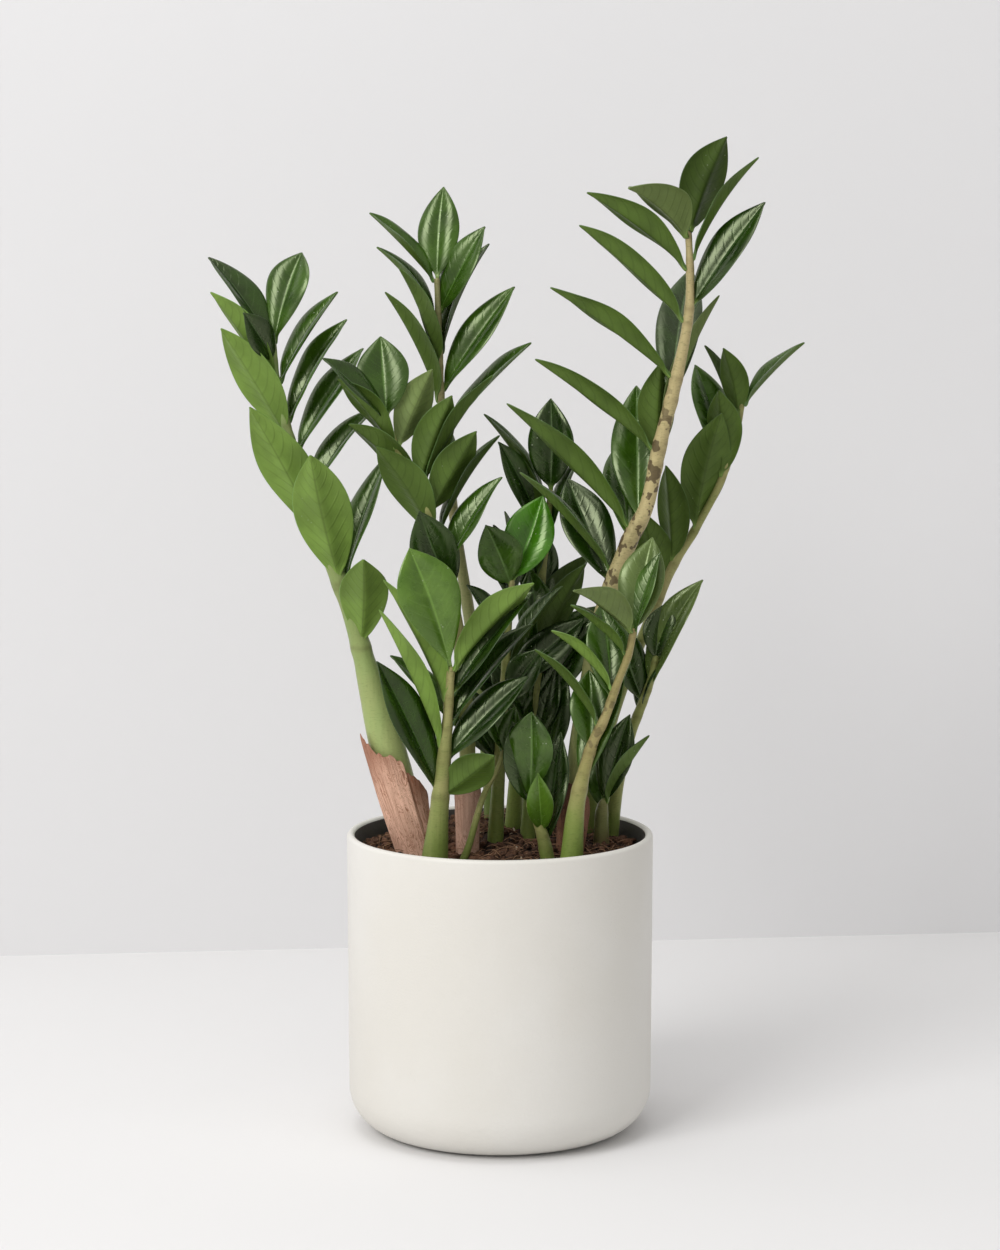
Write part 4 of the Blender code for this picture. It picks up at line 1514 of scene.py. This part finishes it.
@dataclass
class Pot:
    """The plain pot: straight walls, a round bottom edge and a soft rim."""

    design: Design
    outside: CeramicFinish
    inside: CeramicFinish
    sides: int = 128

    def _profile(self) -> list[tuple[float, float]]:
        """Points of the pot's half section, from the foot outside to the floor inside.

        Returns:
            Radius and height of each point.
        """
        design = self.design
        foot, rim = design.radius - POT_TAPER, POT_WALL / 2
        inner_foot, inner_corner = foot - POT_WALL, POT_CORNER - POT_WALL
        points = [(foot - POT_CORNER - 0.004, 0.0008), (foot - POT_CORNER - 0.0025, 0.0)]
        points += self._arc(foot - POT_CORNER, POT_CORNER, POT_CORNER, -90, 0, 12)
        points += [
            (foot + POT_TAPER * share, POT_CORNER + (design.height - rim - POT_CORNER) * share)
            for share in (0.25, 0.5, 0.75)
        ]
        points += self._arc(design.radius - rim, design.height - rim, rim, 0, 180, 10)
        level = design.soil_level
        points += [(design.bore, level + 0.004), (design.bore, level - 0.004)]
        points += self._arc(inner_foot - inner_corner, POT_FLOOR + inner_corner, inner_corner,
                            0, -90, 6)
        return points

    def _arc(
        self, x: float, z: float, radius: float, start: float, end: float, steps: int
    ) -> list[tuple[float, float]]:
        """Points of an arc in the half section.

        Args:
            x: the centre's distance from the axis.
            z: the centre's height.
            radius: of the arc.
            start: first direction, in degrees.
            end: last direction.
            steps: number of steps.

        Returns:
            Radius and height of each point.
        """
        turns = (math.radians(start + (end - start) * step / steps) for step in range(steps + 1))
        return [(x + radius * math.cos(turn), z + radius * math.sin(turn)) for turn in turns]

    def build(self) -> bpy.types.Object:
        """Raise the wall from a circle, ring by ring, and glaze it.

        Returns:
            The pot's piece.
        """
        profile = self._profile()
        deselect()
        bpy.ops.mesh.primitive_circle_add(
            vertices=self.sides, radius=profile[0][0], location=(0, 0, 0), fill_type="NGON"
        )
        pot = named("glazed_pot")
        with editing(pot):
            bpy.ops.transform.translate(value=(0, 0, profile[0][1]))
            for (radius, height), (wider, higher) in zip(profile, profile[1:]):
                bpy.ops.mesh.extrude_region_move(
                    TRANSFORM_OT_translate={"value": (0, 0, higher - height)}
                )
                ratio = wider / radius
                bpy.ops.transform.resize(value=(ratio, ratio, 1), center_override=(0, 0, 0))
            bpy.ops.mesh.select_all(action="SELECT")
            bpy.ops.mesh.normals_make_consistent(inside=False)
        bpy.ops.object.shade_smooth_by_angle(angle=math.radians(40))
        dress(pot, self.outside.material(), self.inside.material())
        # The inner wall and floor take the dark painted shade inside the pot.
        for face in pot.data.polygons:
            inward = face.center.xy.dot(face.normal.xy) < -0.9 * face.center.xy.length
            floor = face.normal.z > 0.5 and face.center.z < self.design.height / 2
            face.material_index = int(inward or floor)
        return finish_piece(pot, "ceramic", "pot")


# ---------------------------------------------------------------------------------------------
# How each piece looks
# ---------------------------------------------------------------------------------------------

YOUNG_STALK = StalkFinish("stalk young", (0.15, 0.205, 0.042), (0.22, 0.24, 0.075), aging=0.5)
STALK_FINISHES = {
    "left_tall": StalkFinish("stalk pale", (0.38, 0.455, 0.17), (0.20, 0.28, 0.09), aging=0.22),
    "middle_tall": StalkFinish("stalk beige", (0.13, 0.22, 0.05), (0.27, 0.26, 0.12), aging=0.5),
    # Its foot's colour is darkened as painted shade, where it stands behind the front leaves and
    # sheaths.
    "right_tall": StalkFinish(
        "stalk blotched", (0.10, 0.165, 0.035), (0.44, 0.36, 0.18), aging=0.25, blotches=0.85
    ),
    "front_right": StalkFinish(
        "stalk tan", (0.17, 0.25, 0.045), (0.30, 0.25, 0.10), aging=0.45, blotches=0.5
    ),
    "right_shoot": StalkFinish("stalk brown", (0.13, 0.11, 0.045), (0.16, 0.17, 0.06), aging=0.5),
}

# Each stalk's usual tone, then the leaflets that differ, by the number of their row. The deep tone
# also paints shade on leaflets inside the plant, and the fresh tone also paints light on lit ones.
TONES: dict[str, tuple[Tone, dict[int, Tone]]] = {
    "left_tall": (
        Tone.GREEN,
        {2: Tone.DEEP, 3: Tone.DEEP, 4: Tone.FRESH, 5: Tone.FRESH, 6: Tone.FRESH, 7: Tone.FRESH,
         8: Tone.FRESH},
    ),
    "middle_tall": (Tone.GREEN, {7: Tone.DEEP, 10: Tone.DEEP}),
    "right_tall": (
        Tone.GREEN,
        {1: Tone.DEEP, 2: Tone.DUSTY, 10: Tone.DEEP, 11: Tone.DEEP, 12: Tone.DUSTY,
         14: Tone.GREEN, 15: Tone.DEEP},
    ),
    "front_left": (
        Tone.DEEP, {1: Tone.FRESH, 2: Tone.FRESH, 3: Tone.FRESH, 5: Tone.FRESH, 9: Tone.GREEN}
    ),
    "front_right": (Tone.GREEN, {1: Tone.DUSTY, 3: Tone.FRESH, 7: Tone.DUSTY}),
    "right_low": (Tone.DEEP, {1: Tone.DUSTY}),
    "right_shoot": (Tone.GREEN, {1: Tone.DEEP}),
    "right_back": (Tone.GREEN, {3: Tone.DEEP}),
    "left_middle": (Tone.GREEN, {2: Tone.DEEP, 6: Tone.DEEP, 8: Tone.DUSTY, 12: Tone.DEEP}),
    "middle_back": (Tone.DEEP, {}),
    "middle": (Tone.DEEP, {1: Tone.BRIGHT, 2: Tone.GREEN}),
    "middle_low": (Tone.DEEP, {2: Tone.GREEN}),
    "front_shoot": (Tone.DEEP, {1: Tone.GREEN, 2: Tone.FRESH}),
    "thin_shoot": (Tone.GREEN, {}),
}

SHAPES = {
    ("front_left", 1): Shape.OBOVATE, ("front_shoot", 1): Shape.OBOVATE,
    ("left_tall", 1): Shape.OBOVATE,
    ("front_left", 2): Shape.OVATE, ("middle_low", 1): Shape.OVATE,
}

# Blades that have grown in a way of their own.
GROWTHS: dict[tuple[str, int], dict[str, float]] = {
    ("middle_tall", 1): {"fold": 7.0, "arch": 3.0, "wave": 0.07, "twist": 0.0},
    ("left_tall", 1): {"fold": 16.0, "wave": 0.06, "twist": 0.0},
    ("left_tall", 7): {"fold": 24.0, "twist": 4.0},
    ("left_tall", 8): {"fold": 26.0},
    ("right_tall", 2): {"fold": 34.0, "arch": 12.0},
    ("front_right", 1): {"fold": 32.0, "arch": 12.0},
}

SHEATHS = (
    SheathPlan("dry_sheet_left", "sheath_left", "left_tall", 63, 0.74, -74, 0.6,
               span=(-0.55, 0.14), skew=0.85, lean=-30, layer=1.0, curl=1.3, tears=2.5),
    SheathPlan("dry_sheet_left_flap", "sheath_left", "left_tall", 53, 0.74, -74, 2.6,
               span=(0.08, 0.85), skew=0.35, lean=-30, tears=2.0),
    SheathPlan("dry_sheet_right", "sheath_right", "right_tall", 46, 0.60, -95, 1.0),
    SheathPlan("dry_sheet_middle", "sheath_middle", "left_middle", 52, 0.80, -90, 0.8, tears=2.0),
)
SHEATH_FINISHES = {
    "sheath_left": SheathFinish("sheath pink", (0.76, 0.475, 0.345), (0.31, 0.12, 0.062)),
    "sheath_right": SheathFinish("sheath red", (0.27, 0.125, 0.070), (0.085, 0.036, 0.022)),
    "sheath_middle": SheathFinish("sheath brown", (0.60, 0.38, 0.28), (0.34, 0.18, 0.12)),
}


# ---------------------------------------------------------------------------------------------
# The room
# ---------------------------------------------------------------------------------------------


@dataclass(frozen=True)
class Studio:
    """A pale floor and wall, soft light from the left, and the camera."""

    floor_colour: Colour = (0.80, 0.79, 0.785)
    wall_colour: Colour = (0.765, 0.757, 0.76)
    wall_distance: float = 0.4905
    wall_turn: float = 6.27
    camera_place: tuple[float, float, float] = (0.0, -2.0, 0.555)
    camera_tilt: float = 7.28
    lens: float = 99.36

    def build(self) -> None:
        """Set up the room, the lights and the camera."""
        floor = self._plane("floor", 6.0, (0, 0, 0), (0, 0, 0), self.floor_colour)
        wall = self._plane(
            "wall", 6.0, (0, self.wall_distance, 3.0),
            (math.radians(90), 0, math.radians(self.wall_turn)), self.wall_colour,
        )
        self._light("key", (-2.03, -2.57, 2.46), 1.9, 79.0)
        self._light("top", (-0.3, -0.5, 2.4), 1.2, 12.0)
        world = bpy.data.worlds.new("room")
        world.use_nodes = True
        sky = world.node_tree.nodes["Background"]
        sky.inputs["Color"].default_value = (1.0, 1.0, 1.0, 1.0)
        sky.inputs["Strength"].default_value = 0.545
        scene = bpy.context.scene
        scene.world = world
        scene.view_settings.view_transform = "Standard"
        bpy.ops.object.camera_add(
            location=self.camera_place, rotation=(math.radians(90 - self.camera_tilt), 0, 0)
        )
        camera = bpy.context.object
        camera.name = "camera"
        camera.data.lens = self.lens
        camera.data.dof.use_dof = False
        scene.camera = camera

    def _plane(
        self, name: str, size: float, place: tuple, turn: tuple, colour: Colour
    ) -> bpy.types.Object:
        """Add one matt surface of the room.

        Args:
            name: the surface's name.
            size: its side.
            place: its middle.
            turn: its rotation.
            colour: its colour.

        Returns:
            The surface.
        """
        deselect()
        bpy.ops.mesh.primitive_plane_add(size=size, location=place, rotation=turn)
        plane = named(name)
        material, graph, shader = new_material(name)
        shade = tuple(0.985 * part for part in colour)
        cloud = graph.ramp(graph.noise(object_vector(graph), 1.3, 2.0), 0.3, 0.7)
        graph.plug(shader.inputs["Base Color"], graph.mix(cloud, shade, colour))
        shader.inputs["Roughness"].default_value = 0.85
        shader.inputs["Specular IOR Level"].default_value = 0.15
        plane.data.materials.append(material)
        if turn[0]:
            # Seen from behind, the wall is clear, so that the plant shows from all sides.
            back = graph.add("ShaderNodeNewGeometry").outputs["Backfacing"]
            clear = graph.add("ShaderNodeBsdfTransparent").outputs[0]
            both = graph.add(
                "ShaderNodeMixShader", {0: back, 1: shader.outputs[0], 2: clear}
            )
            output = material.node_tree.nodes["Material Output"]
            graph.plug(output.inputs["Surface"], both.outputs[0])
        return plane

    def _light(
        self, name: str, place: tuple[float, float, float], size: float, power: float
    ) -> None:
        """Add a soft light that faces the plant.

        Args:
            name: the light's name.
            place: where it hangs.
            size: its side.
            power: in watts.
        """
        aim = Vector((0, 0, 0.30)) - Vector(place)
        bpy.ops.object.light_add(
            type="AREA", location=place, rotation=aim.to_track_quat("-Z", "Y").to_euler()
        )
        light = bpy.context.object
        light.name = name
        light.data.shape = "SQUARE"
        light.data.size = size
        light.data.energy = power


# ---------------------------------------------------------------------------------------------
# Main
# ---------------------------------------------------------------------------------------------


def build_plant(design: Design) -> list[Stalk]:
    """Build every stalk and leaflet.

    Args:
        design: the sizes that the pieces share.

    Returns:
        The stalks.
    """
    masters = {shape: BladeMaster(shape).build() for shape in Shape}
    stalks = []
    for name, rows in LEAFLETS.items():
        usual, others = TONES[name]
        apart = name in SEPARATE
        frond = f"frond_{name}"
        stalk = Stalk(
            name, design, STALK_FINISHES.get(name, YOUNG_STALK),
            (f"stalk_{name}",) if apart else (frond,),
        )
        stalk.build()
        stalks.append(stalk)
        for number in range(1, len(rows) + 1):
            node = f"leaflet_{name}_{number:02d}" if apart else frond
            Leaflet(
                stalk, number, masters[SHAPES.get((name, number), Shape.ELLIPTIC)],
                LeafFinish(others.get(number, usual)), (node,),
                overrides=GROWTHS.get((name, number), {}),
            ).build()
    for master in masters.values():
        master.remove()
    return stalks


def main() -> None:
    """Build the pieces in order, from the pot upwards, then the room."""
    logging.basicConfig(level=logging.INFO, format="%(name)s: %(message)s")
    design = Design.from_frame()
    Pot(
        design,
        CeramicFinish("glaze outside", (0.745, 0.725, 0.68), (0.715, 0.69, 0.635), 0.48),
        # Painted shade: this dark grey stands for the shade inside the pot.
        CeramicFinish("glaze inside", (0.10, 0.092, 0.085), (0.075, 0.068, 0.062), 0.62),
    ).build()
    stalks = build_plant(design)
    by_name = {stalk.name: stalk for stalk in stalks}
    for plan in SHEATHS:
        Sheath(plan, by_name[plan.stalk], SHEATH_FINISHES[plan.node]).build()
    Soil(design, stalks).build()
    Studio().build()
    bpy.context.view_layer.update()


if __name__ == "__main__":
    main()
